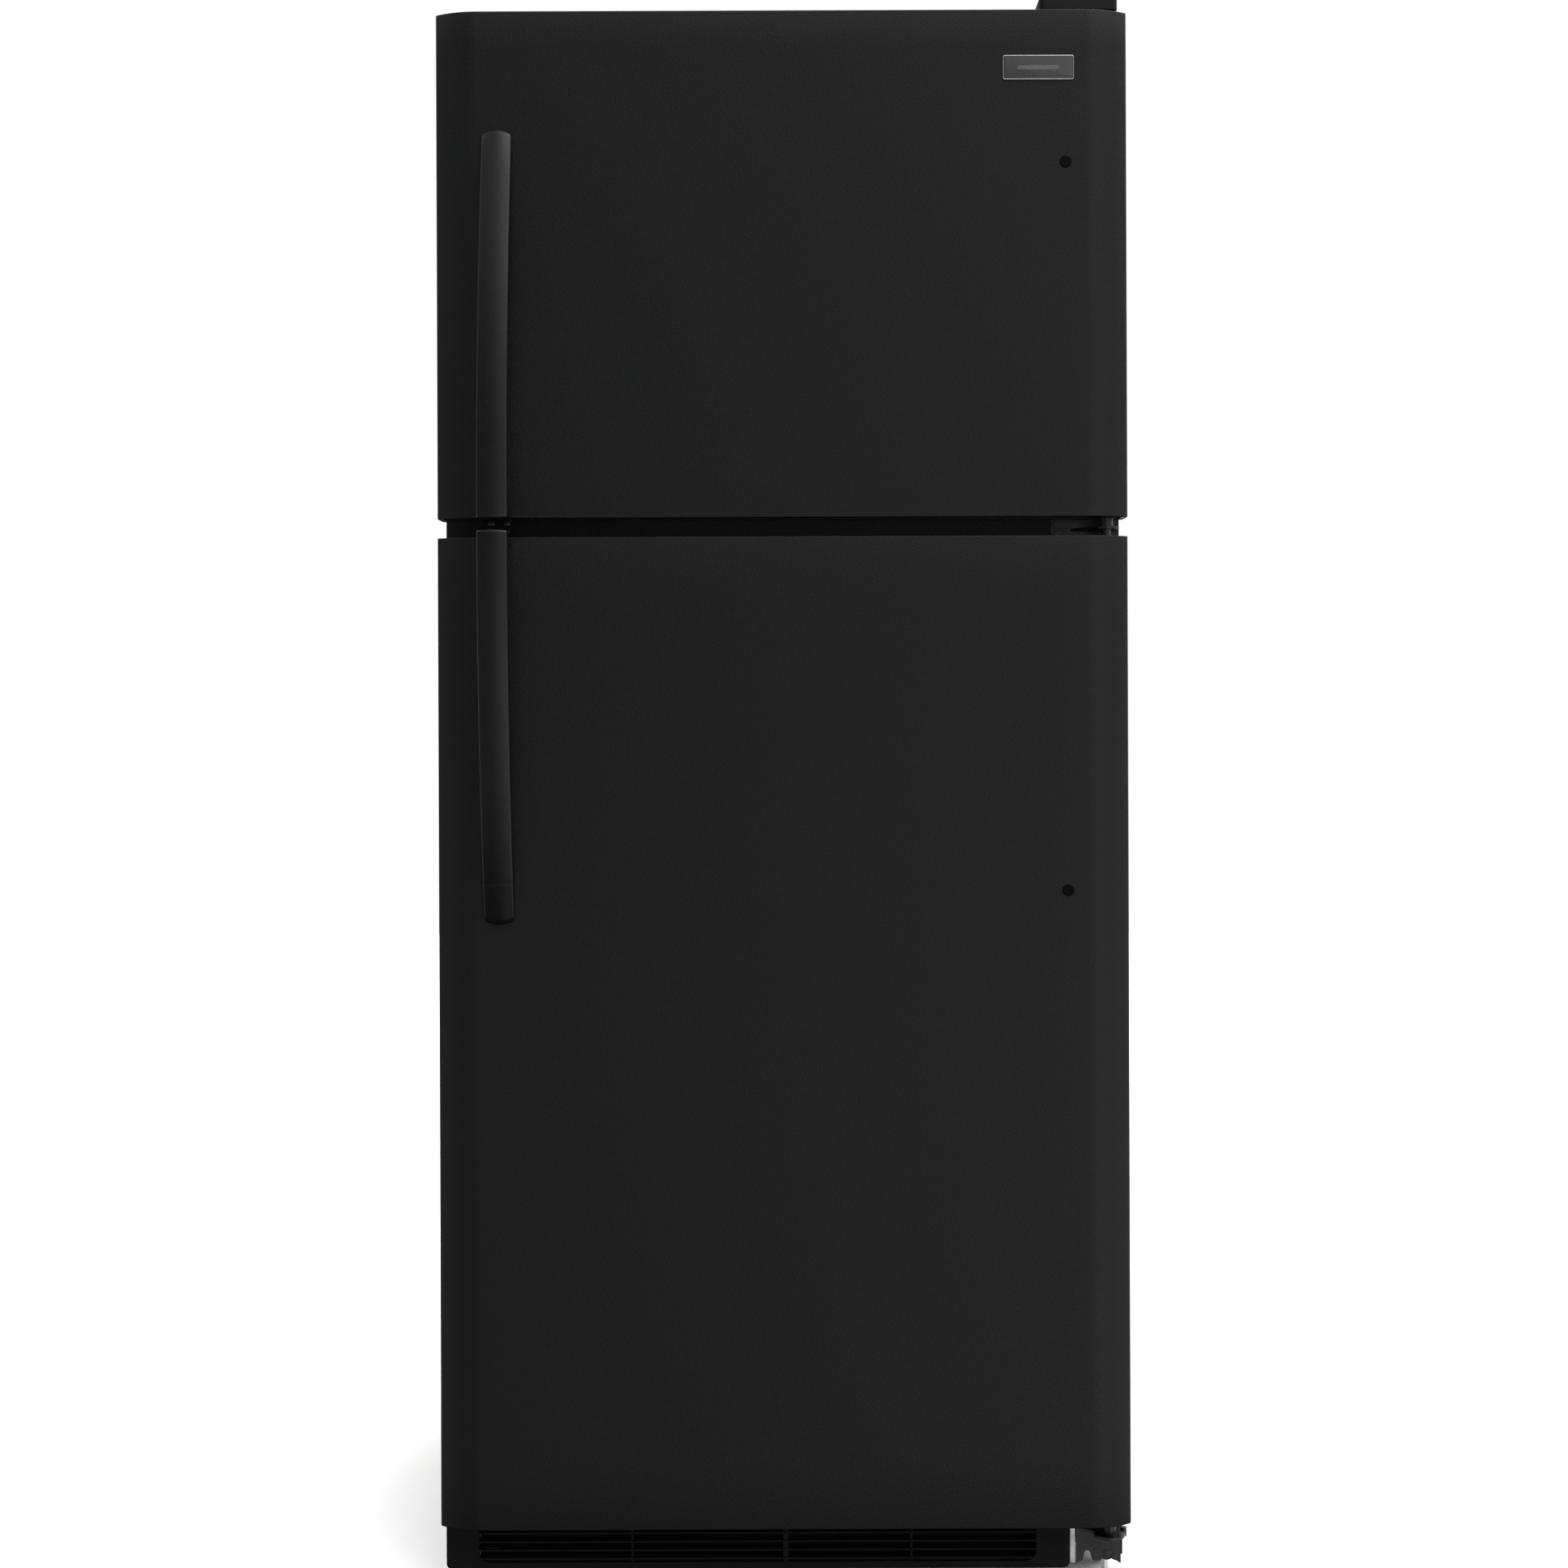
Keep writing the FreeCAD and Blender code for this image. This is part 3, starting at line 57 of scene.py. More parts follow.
def material(name, base, rough, metallic=0.0, spec=0.5, var=0.08, cscale=90.0, rvar=0.06, rscale=60.0,
             bump=0.0, bscale=800.0, bdist=0.0002, detail=2.0, stretch=(1, 1, 1), transmission=0.0, ior=1.45,
             coat=0.0, alpha=1.0, second=None, emission=None, sheen=0.0, pebble=0.0, pscale=300.0):
    m = bpy.data.materials.new(name)
    m.use_nodes = True
    nt = m.node_tree
    nt.nodes.clear()
    L = nt.links.new
    out = nt.nodes.new("ShaderNodeOutputMaterial")
    b = nt.nodes.new("ShaderNodeBsdfPrincipled")
    L(b.outputs["BSDF"], out.inputs["Surface"])
    b.inputs["Metallic"].default_value = metallic
    b.inputs["Specular IOR Level"].default_value = spec
    b.inputs["IOR"].default_value = ior
    b.inputs["Transmission Weight"].default_value = transmission
    b.inputs["Coat Weight"].default_value = coat
    b.inputs["Coat Roughness"].default_value = 0.08
    b.inputs["Alpha"].default_value = alpha
    b.inputs["Sheen Weight"].default_value = sheen
    if emission:
        b.inputs["Emission Color"].default_value = (*emission[0], 1)
        b.inputs["Emission Strength"].default_value = emission[1]
    tc = nt.nodes.new("ShaderNodeTexCoord")
    mp = nt.nodes.new("ShaderNodeMapping")
    mp.inputs["Scale"].default_value = stretch
    L(tc.outputs["Object"], mp.inputs["Vector"])
    def noise(scale, det=2.0, rgh=0.5):
        n = nt.nodes.new("ShaderNodeTexNoise")
        n.inputs["Scale"].default_value = scale
        n.inputs["Detail"].default_value = det
        n.inputs["Roughness"].default_value = rgh
        L(mp.outputs["Vector"], n.inputs["Vector"])
        return n.outputs["Fac"]
    # colour: slow mottling between two close tones
    ramp = nt.nodes.new("ShaderNodeValToRGB")
    hi = second or tuple(min(1.0, c * (1 + var)) for c in base)
    lo = tuple(c * (1 - var) for c in base)
    ramp.color_ramp.elements[0].position = 0.36
    ramp.color_ramp.elements[0].color = (*lo, 1)
    ramp.color_ramp.elements[1].position = 0.64
    ramp.color_ramp.elements[1].color = (*hi, 1)
    L(noise(cscale, 3.0, 0.6), ramp.inputs["Fac"])
    L(ramp.outputs["Color"], b.inputs["Base Color"])
    mr = nt.nodes.new("ShaderNodeMapRange")
    mr.inputs["From Min"].default_value = 0.3
    mr.inputs["From Max"].default_value = 0.7
    mr.inputs["To Min"].default_value = max(0.02, rough - rvar)
    mr.inputs["To Max"].default_value = min(1.0, rough + rvar)
    L(noise(rscale, 2.0), mr.inputs["Value"])
    L(mr.outputs["Result"], b.inputs["Roughness"])
    height = None
    if bump > 0:
        height = noise(bscale, detail)
    if pebble > 0:
        v = nt.nodes.new("ShaderNodeTexVoronoi")
        v.feature = "SMOOTH_F1"
        v.inputs["Scale"].default_value = pscale
        v.inputs["Smoothness"].default_value = 0.6
        L(mp.outputs["Vector"], v.inputs["Vector"])
        ml = nt.nodes.new("ShaderNodeMath")
        ml.operation = "MULTIPLY_ADD"
        L(v.outputs["Distance"], ml.inputs[0])
        ml.inputs[1].default_value = pebble
        if height is not None:
            L(height, ml.inputs[2])
        height = ml.outputs["Value"]
    if height is not None:
        bp = nt.nodes.new("ShaderNodeBump")
        bp.inputs["Strength"].default_value = bump or 0.3
        bp.inputs["Distance"].default_value = bdist
        L(height, bp.inputs["Height"])
        L(bp.outputs["Normal"], b.inputs["Normal"])
    return m

M = {}
M["door_steel"] = material("door_steel", (0.0021, 0.0023, 0.0023), 0.37, spec=0.205, var=0.14, cscale=520, rvar=0.06, rscale=420,
                           bump=0.6, bscale=700, bdist=0.00022, detail=2.5, pebble=0.9, pscale=600)
M["cabinet_steel"] = material("cabinet_steel", (0.0030, 0.0031, 0.0031), 0.44, spec=0.2, var=0.12, cscale=520, rvar=0.05, rscale=420, bump=0.55, bscale=760, bdist=0.00014, pebble=0.8, pscale=640)
M["galvanised"] = material("galvanised", (0.44, 0.45, 0.46), 0.42, metallic=0.9, var=0.22, cscale=70, rvar=0.1, rscale=45, bump=0.15, bscale=250, bdist=0.0001)
M["hinge_steel"] = material("hinge_steel", (0.0054, 0.0055, 0.0054), 0.36, spec=0.36, var=0.15, cscale=200, bump=0.2, bscale=500, bdist=0.0001)
M["handle_plastic"] = material("handle_plastic", (0.0013, 0.0013, 0.0014), 0.28, spec=0.29, var=0.06, cscale=260, rvar=0.02, rscale=120, bump=0.12, bscale=1700, bdist=0.00005)
M["black_plastic"] = material("black_plastic", (0.0022, 0.0022, 0.0022), 0.46, spec=0.16, var=0.14, cscale=220, bump=0.35, bscale=900, bdist=0.00012)
M["badge_gloss"] = material("badge_gloss", grey(18, (1, 1, 1.04)), 0.12, spec=0.6, var=0.06, cscale=60, rvar=0.03, coat=0.6)
M["liner_white"] = material("liner_white", (0.80, 0.815, 0.81), 0.30, var=0.008, cscale=30, rvar=0.03, rscale=60, bump=0.05, bscale=420, bdist=0.00012)
M["white_plastic"] = material("white_plastic", (0.80, 0.80, 0.79), 0.32, var=0.015, cscale=20, rvar=0.05, rscale=40, bump=0.08, bscale=600, bdist=0.0001)
M["clear_plastic"] = material("clear_plastic", (0.90, 0.94, 0.95), 0.10, var=0.01, cscale=20, rvar=0.03, rscale=15, transmission=0.88, ior=1.49, bump=0.03, bscale=60, bdist=0.0005)
M["diffuser"] = material("diffuser", (0.92, 0.90, 0.84), 0.35, var=0.02, cscale=40, transmission=0.35, bump=0.1, bscale=300, bdist=0.0002)
M["shelf_glass"] = material("shelf_glass", (0.86, 0.95, 0.92), 0.05, var=0.02, cscale=6, rvar=0.02, rscale=10, transmission=0.95, ior=1.5)
M["gasket_rubber"] = material("gasket_rubber", (0.0045, 0.0045, 0.0047), 0.55, spec=0.25, var=0.12, cscale=120, bump=0.2, bscale=400, bdist=0.0002)
M["foam"] = material("foam", (0.72, 0.62, 0.40), 0.9, spec=0.1, var=0.12, cscale=60, bump=0.5, bscale=300, bdist=0.0006)
M["rear_sheet"] = material("rear_sheet", (0.24, 0.245, 0.25), 0.45, metallic=0.35, var=0.04, cscale=40, rvar=0.08, rscale=30, bump=0.12, bscale=180, bdist=0.0002)
M["compressor_steel"] = material("compressor_steel", grey(20), 0.28, spec=0.55, var=0.15, cscale=90, bump=0.1, bscale=160, bdist=0.0003)
M["copper"] = material("copper", (0.62, 0.30, 0.17), 0.32, metallic=1.0, var=0.2, cscale=160, rvar=0.1, rscale=90, bump=0.1, bscale=300, bdist=0.0001)
M["coil_aluminium"] = material("coil_aluminium", (0.66, 0.67, 0.68), 0.34, metallic=1.0, var=0.1, cscale=120, bump=0.1, bscale=400, bdist=0.0001)
M["condenser_black"] = material("condenser_black", grey(26), 0.42, var=0.15, cscale=120, bump=0.1, bscale=300, bdist=0.0001)
M["wire_white"] = material("wire_white", (0.80, 0.80, 0.79), 0.3, var=0.03, cscale=60, bump=0.08, bscale=500, bdist=0.0001)
M["zinc_screw"] = material("zinc_screw", (0.55, 0.55, 0.54), 0.34, metallic=1.0, var=0.12, cscale=300, bump=0.1, bscale=900, bdist=0.00005)
M["wheel_plastic"] = material("wheel_plastic", (0.17, 0.17, 0.18), 0.5, var=0.10, cscale=200, bump=0.2, bscale=500, bdist=0.0002)
M["fan_grey"] = material("fan_grey", (0.055, 0.055, 0.06), 0.45, var=0.10, cscale=120, bump=0.15, bscale=500, bdist=0.0001)

M["plug_black"] = material("plug_black", (0.0010, 0.0010, 0.0010), 0.55, spec=0.05, var=0.14, cscale=220, bump=0.3, bscale=900, bdist=0.0001)
M["screw_black"] = material("screw_black", (0.010, 0.010, 0.0105), 0.30, metallic=0.3, spec=0.4, var=0.12, cscale=400, rvar=0.06, rscale=300, bump=0.12, bscale=900, bdist=0.00005)
M["grille_black"] = material("grille_black", (0.0024, 0.0024, 0.0024), 0.58, spec=0.10, var=0.14, cscale=220, bump=0.35, bscale=900, bdist=0.00012)
M["badge_bar"] = material("badge_bar", (0.090, 0.091, 0.093), 0.34, metallic=0.85, var=0.10, cscale=300, rvar=0.05, rscale=200, bump=0.1, bscale=900, bdist=0.00004)
M["badge_edge"] = material("badge_edge", (0.30, 0.30, 0.31), 0.26, metallic=1.0, var=0.08, cscale=300, rvar=0.05, rscale=200, bump=0.08, bscale=900, bdist=0.00004)

slot_of = {s["node"]: s["material_slot"] for s in frame["record"]["subparts"]}

def paint(obj, m):
    if obj.type == "MESH" and len(obj.material_slots):
        for s in obj.material_slots:
            s.material = m
    else:
        obj.data.materials.append(m)

for node, o in frame["nodes"].items():
    paint(o, M[slot_of[node]])
paint(frame["nodes"]["toe_grille"], M["grille_black"])
paint(frame["nodes"]["hinge_screws"], M["screw_black"])

# ------------------------------------------------------------------ mesh tools
def finish_mesh(bm, name, slot_name, body, replaces=(), bevel=0.0, segs=2, angle=32.0, smooth=38.0, subsurf=0, dist=1e-6, mat=None):
    if dist:
        bmesh.ops.remove_doubles(bm, verts=bm.verts, dist=dist)
    bmesh.ops.recalc_face_normals(bm, faces=bm.faces)
    me = bpy.data.meshes.new(name)
    bm.to_mesh(me)
    bm.free()
    o = bpy.data.objects.new(name, me)
    sc.collection.objects.link(o)
    for p in me.polygons:
        p.use_smooth = True
    me.set_sharp_from_angle(angle=math.radians(smooth))
    if bevel > 0:
        b = o.modifiers.new("edge", "BEVEL")
        b.width = bevel
        b.segments = segs
        b.limit_method = "ANGLE"
        b.angle_limit = math.radians(angle)
        b.use_clamp_overlap = True
        b.harden_normals = True
    if subsurf:
        s = o.modifiers.new("subsurf", "SUBSURF")
        s.levels = s.render_levels = subsurf
    me.materials.append(M[mat or slot_name])
    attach(o, body)
    if replaces:
        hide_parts(*replaces)
    return o

def loops(bm, rings, closed=True, cap=True):
    # skin a list of equal-length point loops
    vr = [[bm.verts.new(p) for p in r] for r in rings]
    n = len(vr[0])
    for a, b in zip(vr, vr[1:]):
        for i in range(n if closed else n - 1):
            j = (i + 1) % n
            bm.faces.new((a[i], a[j], b[j], b[i]))
    if cap and closed:
        bm.faces.new(vr[0][::-1])
        bm.faces.new(vr[-1])
    return vr

def prism(bm, pts, fn, a0, a1):
    # polygon pts (u, v) pushed from a0 to a1; fn(u, v, a) gives the point
    loops(bm, [[fn(u, v, a) for u, v in pts] for a in (a0, a1)])

def lathe(bm, profile, centre, axis="z", n=40, sign=1):
    # profile of (radius, height) turned about an axis through centre
    rings = []
    for r, h in profile:
        ring = []
        for i in range(n):
            t = 2 * math.pi * i / n
            a, b, c = r * math.cos(t), r * math.sin(t), h * sign
            v = {"z": (a, b, c), "y": (a, c, b), "x": (c, a, b)}[axis]
            ring.append(tuple(centre[k] + v[k] for k in range(3)))
        rings.append(ring)
    loops(bm, rings)

def tube(bm, pts, r, n=10):
    # round bar along a polyline
    rings = []
    P = [Vector(p) for p in pts]
    up = None
    for i, p in enumerate(P):
        d = (P[min(i + 1, len(P) - 1)] - P[max(i - 1, 0)]).normalized()
        if up is None:
            up = Vector((0, 0, 1)) if abs(d.z) < 0.9 else Vector((1, 0, 0))
        s = d.cross(up).normalized()
        up = s.cross(d).normalized()
        rings.append([tuple(p + r * (math.cos(2 * math.pi * k / n) * s + math.sin(2 * math.pi * k / n) * up)) for k in range(n)])
    loops(bm, rings)

# ------------------------------------------------------------------ doors: rolled steel skins
YF, YB, HX = -0.3425, -0.2825, 0.381
def skin_path(t):
    r, q = 0.075 - t, 0.005 - t
    half = []
    y_b = YB - t
    half.append((HX - 0.014, y_b))
    half.append((HX - 0.0022 - t, y_b))
    for i in range(1, 5):
        a = math.radians(90 - 90 * i / 4)
        half.append((HX - 0.0022 - t + 0.0022 * math.cos(a), y_b - 0.0022 + 0.0022 * math.sin(a)))
    for i in range(0, 11):
        half.append((HX - t, y_b - 0.004 + (YF + 0.019 - y_b + 0.004) * i / 10.0))
    for i in range(1, 11):
        a = -math.radians(53.13 * i / 10)
        half.append((0.376 + q * math.cos(a), YF + 0.019 + q * math.sin(a)))
    for i in range(1, 25):
        a = -math.radians(53.13 + 36.87 * i / 24)
        half.append((0.334 + r * math.cos(a), YF + 0.075 + r * math.sin(a)))
    flat = [(0.334 - 0.668 * i / 20.0, YF + t) for i in range(1, 20)]
    return half + flat + [(-x, y) for x, y in half[::-1]]

def door_skin(node, body):
    lo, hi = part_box(node)
    out_p, in_p = skin_path(0.0), skin_path(0.001)
    bm = bmesh.new()
    n = len(out_p)
    rim = 0.0009
    levels = [(lo.z, 0.00045), (lo.z + 0.00025, 0.00015), (lo.z + rim, 0.0)]
    k = 14
    levels += [(lo.z + rim + (hi.z - lo.z - 2 * rim) * i / k, 0.0) for i in range(1, k)]
    levels += [(hi.z - rim, 0.0), (hi.z - 0.00025, 0.00015), (hi.z, 0.00045)]
    grid_o, grid_i = [], []
    for z, ins in levels:
        ro, ri = [], []
        for a, b in zip(out_p, in_p):
            d = (Vector(b) - Vector(a))
            d = d.normalized() if d.length > 1e-9 else Vector((0, 0))
            ro.append(bm.verts.new((a[0] + d.x * ins, a[1] + d.y * ins, z)))
            ri.append(bm.verts.new((b[0] - d.x * ins, b[1] - d.y * ins, z)))
        grid_o.append(ro)
        grid_i.append(ri)
    for g in (grid_o, grid_i):
        for a, b in zip(g, g[1:]):
            for i in range(n - 1):
                bm.faces.new((a[i], a[i + 1], b[i + 1], b[i]))
    for lvl in (0, -1):
        for i in range(n - 1):
            bm.faces.new((grid_o[lvl][i], grid_o[lvl][i + 1], grid_i[lvl][i + 1], grid_i[lvl][i]))
    for a, b, c, d in zip(grid_o, grid_o[1:], grid_i, grid_i[1:]):
        for i in (0, n - 1):
            bm.faces.new((a[i], b[i], d[i], c[i]))
    return finish_mesh(bm, node + "_rolled", "door_steel", body, (node,), smooth=50)

door_skin("freezer_door_skin", "freezer_door")
door_skin("fridge_door_skin", "fridge_door")

# ------------------------------------------------------------------ handles: bowed, crowned grips on a narrow foot
HX0, HW, HL, H_OUT, H_END, H_TK = -0.3115, 0.0335, 0.429, 0.064, 0.008, 0.016
H_RISE = H_OUT - H_END
H_RAD = (HL ** 2 + H_RISE ** 2) / (2 * H_RISE)
def handle(node, body, up):
    lo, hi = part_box(node)
    z_in = lo.z if up > 0 else hi.z
    def d(s):
        return H_OUT - (H_RAD - math.sqrt(H_RAD ** 2 - (HL - s) ** 2))
    W = HW / 2
    def section(s, ob, of, inset):
        # half-width w, back at ob, crowned face at of
        w = W - inset
        r = min(0.0030, (of - ob) * 0.4)
        rb = min(0.0030, (of - ob) * 0.35)
        pts = []
        cr = 0.0011
        for i in range(0, 9):
            a = math.pi - (math.pi / 2) * i / 8
            pts.append((-w + r + r * math.cos(a), of - r - cr + r * math.sin(a)))
        for i in range(1, 16):
            x = (-w + r) + (2 * w - 2 * r) * i / 16
            pts.append((x, of - cr * (x / (w - r)) ** 2))
        for i in range(0, 9):
            a = (math.pi / 2) * (1 - i / 8.0)
            pts.append((w - r + r * math.cos(a), of - r - cr + r * math.sin(a)))
        for i in range(0, 6):
            a = -(math.pi / 2) * i / 5
            pts.append((w - rb + rb * math.cos(a), ob + rb + rb * math.sin(a)))
        for i in range(0, 6):
            a = -math.pi / 2 - (math.pi / 2) * i / 5
            pts.append((-w + rb + rb * math.cos(a), ob + rb + rb * math.sin(a)))
        return [(x, o, s) for x, o in pts]
    rows = []
    for s, ins, dr in ((0.0, 0.0016, 0.0019), (0.0003, 0.0008, 0.0010), (0.0009, 0.0003, 0.0004), (0.0018, 0.0, 0.0001)):
        rows.append(section(s, 0.0001, d(s) - dr, ins))
    for i in range(1, 10):
        s = 0.0018 + (0.044 - 0.0018) * i / 9
        rows.append(section(s, 0.0001, d(s), 0.0))
    back = lambda s: d(s) - H_TK
    for i in range(0, 9):
        s = 0.044 + 0.014 * i / 8
        t = i / 8.0
        t = t * t * (3 - 2 * t)
        rows.append(section(s, 0.0001 + (back(s) - 0.0001) * t, d(s), 0.0))
    for i in range(1, 60):
        s = 0.058 + (HL - 0.004 - 0.058) * i / 59
        rows.append(section(s, back(s), d(s), 0.0))
    for s, ins, dr in ((HL - 0.0022, 0.0, 0.0002), (HL - 0.0010, 0.0004, 0.0006), (HL - 0.0003, 0.0010, 0.0013), (HL, 0.0019, 0.0022)):
        rows.append(section(s, back(s) + dr, d(s) - dr, ins))
    bm = bmesh.new()
    def place(x, o, s):
        e = (x / W) ** 2
        s2 = s + 0.0046 * e * max(0.0, 1 - s / 0.05) - 0.0008 * e * max(0.0, 1 - (HL - s) / 0.03)
        return (HX0 + x, YF - o, z_in + up * (HL - s2))
    loops(bm, [[place(*p) for p in r] for r in rows])
    # foot: web under the inner end, turned over the door's edge as a flange
    o_b = 0.052
    foot = [(HL - 0.0002, o_b), (HL - 0.0002, -0.0199), (HL - 0.0046, -0.0199), (HL - 0.0046, 0.0002), (HL - 0.0132, 0.0002)]
    for i in range(0, 9):
        a = math.pi / 2 * i / 8
        foot.append((HL - 0.0132 - 0.016 * (1 - math.cos(a)), 0.034 + 0.016 * math.sin(a)))
    prism(bm, foot, lambda s, o, a: (HX0 + a, YF - o, z_in + up * (HL - s)), -0.0144, 0.0144)
    return finish_mesh(bm, node + "_moulded", "handle_plastic", body, (node,), bevel=0.0009, segs=2, angle=45, smooth=40, dist=0)

handle("freezer_handle", "freezer_door", 1)
handle("fridge_handle", "fridge_door", -1)

# ------------------------------------------------------------------ badge: dark glossy plate in a thin bright rim, with a plain raised bar for a mark
def rounded_rect(cx, cz, w, h, r, n=6):
    pts = []
    for k, (sx, sz) in enumerate(((1, 1), (-1, 1), (-1, -1), (1, -1))):
        for i in range(n + 1):
            a = math.pi / 2 * (k + i / n)
            pts.append((cx + sx * (w / 2 - r) + r * math.cos(a), cz + sz * (h / 2 - r) + r * math.sin(a)))
    return pts

b_lo, b_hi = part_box("badge_plate")
bcx, bcz = (b_lo.x + b_hi.x) / 2, (b_lo.z + b_hi.z) / 2
bw, bh, by = b_hi.x - b_lo.x, b_hi.z - b_lo.z, YF
def ring_at(inset, y, r):
    return [(x, y, z) for x, z in rounded_rect(bcx, bcz, bw - 2 * inset, bh - 2 * inset, max(0.0003, r - inset))]
bm = bmesh.new()
loops(bm, [ring_at(0.0, by + 0.0000, 0.0022), ring_at(0.0, by - 0.0015, 0.0022), ring_at(0.0002, by - 0.0019, 0.0022), ring_at(0.0007, by - 0.0021, 0.0022),
           ring_at(0.0010, by - 0.0020, 0.0022), ring_at(0.0011, by - 0.0012, 0.0022), ring_at(0.0011, by - 0.0001, 0.0022)])
finish_mesh(bm, "badge_rim", "badge_gloss", "freezer_door", ("badge_plate",), smooth=30, mat="badge_edge")
bm = bmesh.new()
loops(bm, [ring_at(0.0011, by - 0.0002, 0.0022), ring_at(0.0011, by - 0.0013, 0.0022), ring_at(0.0014, by - 0.0016, 0.0022), ring_at(0.0030, by - 0.0017, 0.0022)])
finish_mesh(bm, "badge_face", "badge_gloss", "freezer_door", ("badge_plate",), smooth=30)
bm = bmesh.new()
mark = lambda w, h, y: [(x, y, z) for x, z in rounded_rect(bcx, bcz - 0.0005, w, h, h / 2 * 0.98)]
loops(bm, [mark(0.046, 0.0046, by - 0.0015), mark(0.046, 0.0046, by - 0.0018), mark(0.0454, 0.0040, by - 0.0020)])
finish_mesh(bm, "badge_mark", "badge_gloss", "freezer_door", ("badge_plate",), smooth=30, mat="badge_bar")

# ------------------------------------------------------------------ gaskets: hollow bellows section swept round each door, corners mitred round
def gasket(node, body):
    lo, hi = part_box(node)
    w = 0.020
    yd, yf = hi.y, lo.y          # yd at the cabinet, yf at the door (more negative)
    y0, y1 = lo.y, hi.y
    d = y1 - y0
    prof = [(0.0, y0), (0.0, y0 + 0.22 * d), (0.0018, y0 + 0.30 * d), (0.0018, y0 + 0.38 * d), (0.0, y0 + 0.46 * d), (0.0, y0 + 0.54 * d), (0.0018, y0 + 0.62 * d),
            (0.0018, y0 + 0.68 * d), (-0.0002 + 0.0002, y0 + 0.76 * d), (0.0, y1 - 0.0018), (0.0008, y1 - 0.0005), (0.0022, y1),
            (w * 0.36, y1), (w * 0.40, y1 - 0.0007), (w * 0.60, y1 - 0.0007), (w * 0.64, y1),
            (w - 0.0022, y1), (w - 0.0008, y1 - 0.0005), (w, y1 - 0.0018), (w, y0 + 0.76 * d), (w - 0.0018, y0 + 0.68 * d),
            (w - 0.0018, y0 + 0.62 * d), (w, y0 + 0.54 * d), (w, y0 + 0.46 * d), (w - 0.0018, y0 + 0.38 * d), (w - 0.0018, y0 + 0.30 * d), (w, y0 + 0.22 * d), (w, y0)]
    cx, cz = (lo.x + hi.x) / 2, (lo.z + hi.z) / 2
    W, H = hi.x - lo.x, hi.z - lo.z
    R = 0.012
    path = []
    for k, (sx, sz) in enumerate(((1, 1), (-1, 1), (-1, -1), (1, -1))):
        for i in range(5):
            a = math.pi / 2 * (k + i / 4.0)
            path.append((cx + sx * (W / 2 - R), cz + sz * (H / 2 - R), math.cos(a), math.sin(a)))
    bm = bmesh.new()
    rings = []
    for px, pz, ca, sa in path:
        # corner: the inner side meets in a mitre, the outer side is rounded
        ring = []
        for u, y in prof:
            r = R - u
            if r >= 0:
                ring.append((px + r * ca, y, pz + r * sa))
            else:
                sx = 1 if px > cx else -1
                sz = 1 if pz > cz else -1
                ring.append((px + r * sx, y, pz + r * sz))
        rings.append(ring)
    vr = [[bm.verts.new(p) for p in r] for r in rings]
    n = len(prof)
    for a, b in zip(vr, vr[1:] + vr[:1]):
        for i in range(n):
            j = (i + 1) % n
            q = [a[i], a[j], b[j], b[i]]
            try:
                bm.faces.new(q)
            except ValueError:
                pass
    bmesh.ops.remove_doubles(bm, verts=bm.verts, dist=1e-5)
    bmesh.ops.dissolve_degenerate(bm, edges=bm.edges, dist=1e-6)
    return finish_mesh(bm, node + "_bellows", "gasket_rubber", body, (node,), smooth=28, dist=0)

gasket("freezer_door_gasket", "freezer_door")
gasket("fridge_door_gasket", "fridge_door")

# ------------------------------------------------------------------ freezer shelf: round coated wires welded over thicker rods
s_lo, s_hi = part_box("freezer_shelf")
bm = bmesh.new()
zt = s_hi.z
for i in range(31):
    x = -0.315 + 0.021 * i
    y0, y1 = s_lo.y, s_hi.y
    tube(bm, [(x, y0 + 0.0014, zt - 0.0062), (x, y0 + 0.0016, zt - 0.0030), (x, y0 + 0.0030, zt - 0.0016), (x, y0 + 0.02, zt - 0.0016),
              (x, (y0 + y1) / 2, zt - 0.0016), (x, y1 - 0.002, zt - 0.0016)], 0.00155, 10)
for y in (s_lo.y + 0.006, s_lo.y + 0.115, s_lo.y + 0.225, s_hi.y - 0.006):
    tube(bm, [(s_lo.x + 0.0005, y, s_lo.z + 0.0024), (0, y, s_lo.z + 0.0024), (s_hi.x - 0.0005, y, s_lo.z + 0.0024)], 0.0024, 12)
for x in (s_lo.x + 0.0028, s_hi.x - 0.0028):
    tube(bm, [(x, s_lo.y + 0.0005, s_lo.z + 0.0028), (x, 0.05, s_lo.z + 0.0028), (x, s_hi.y - 0.0005, s_lo.z + 0.0028)], 0.0028, 12)
finish_mesh(bm, "freezer_shelf_wires", "wire_white", "cabinet", ("freezer_shelf",), smooth=60, dist=0)

# ------------------------------------------------------------------ hole plugs: flat snap-in heads with a rolled edge
def plug_head(bm, cx, cz, r=0.0066):
    lathe(bm, [(r - 0.0002, 0.0), (r, 0.0003), (r, 0.0007), (r - 0.0004, 0.0011), (r - 0.0012, 0.0013), (r - 0.0024, 0.0012), (0.0022, 0.0010), (0.0006, 0.0010)], (cx, YF - 0.0001, cz), "y", 36, -1)

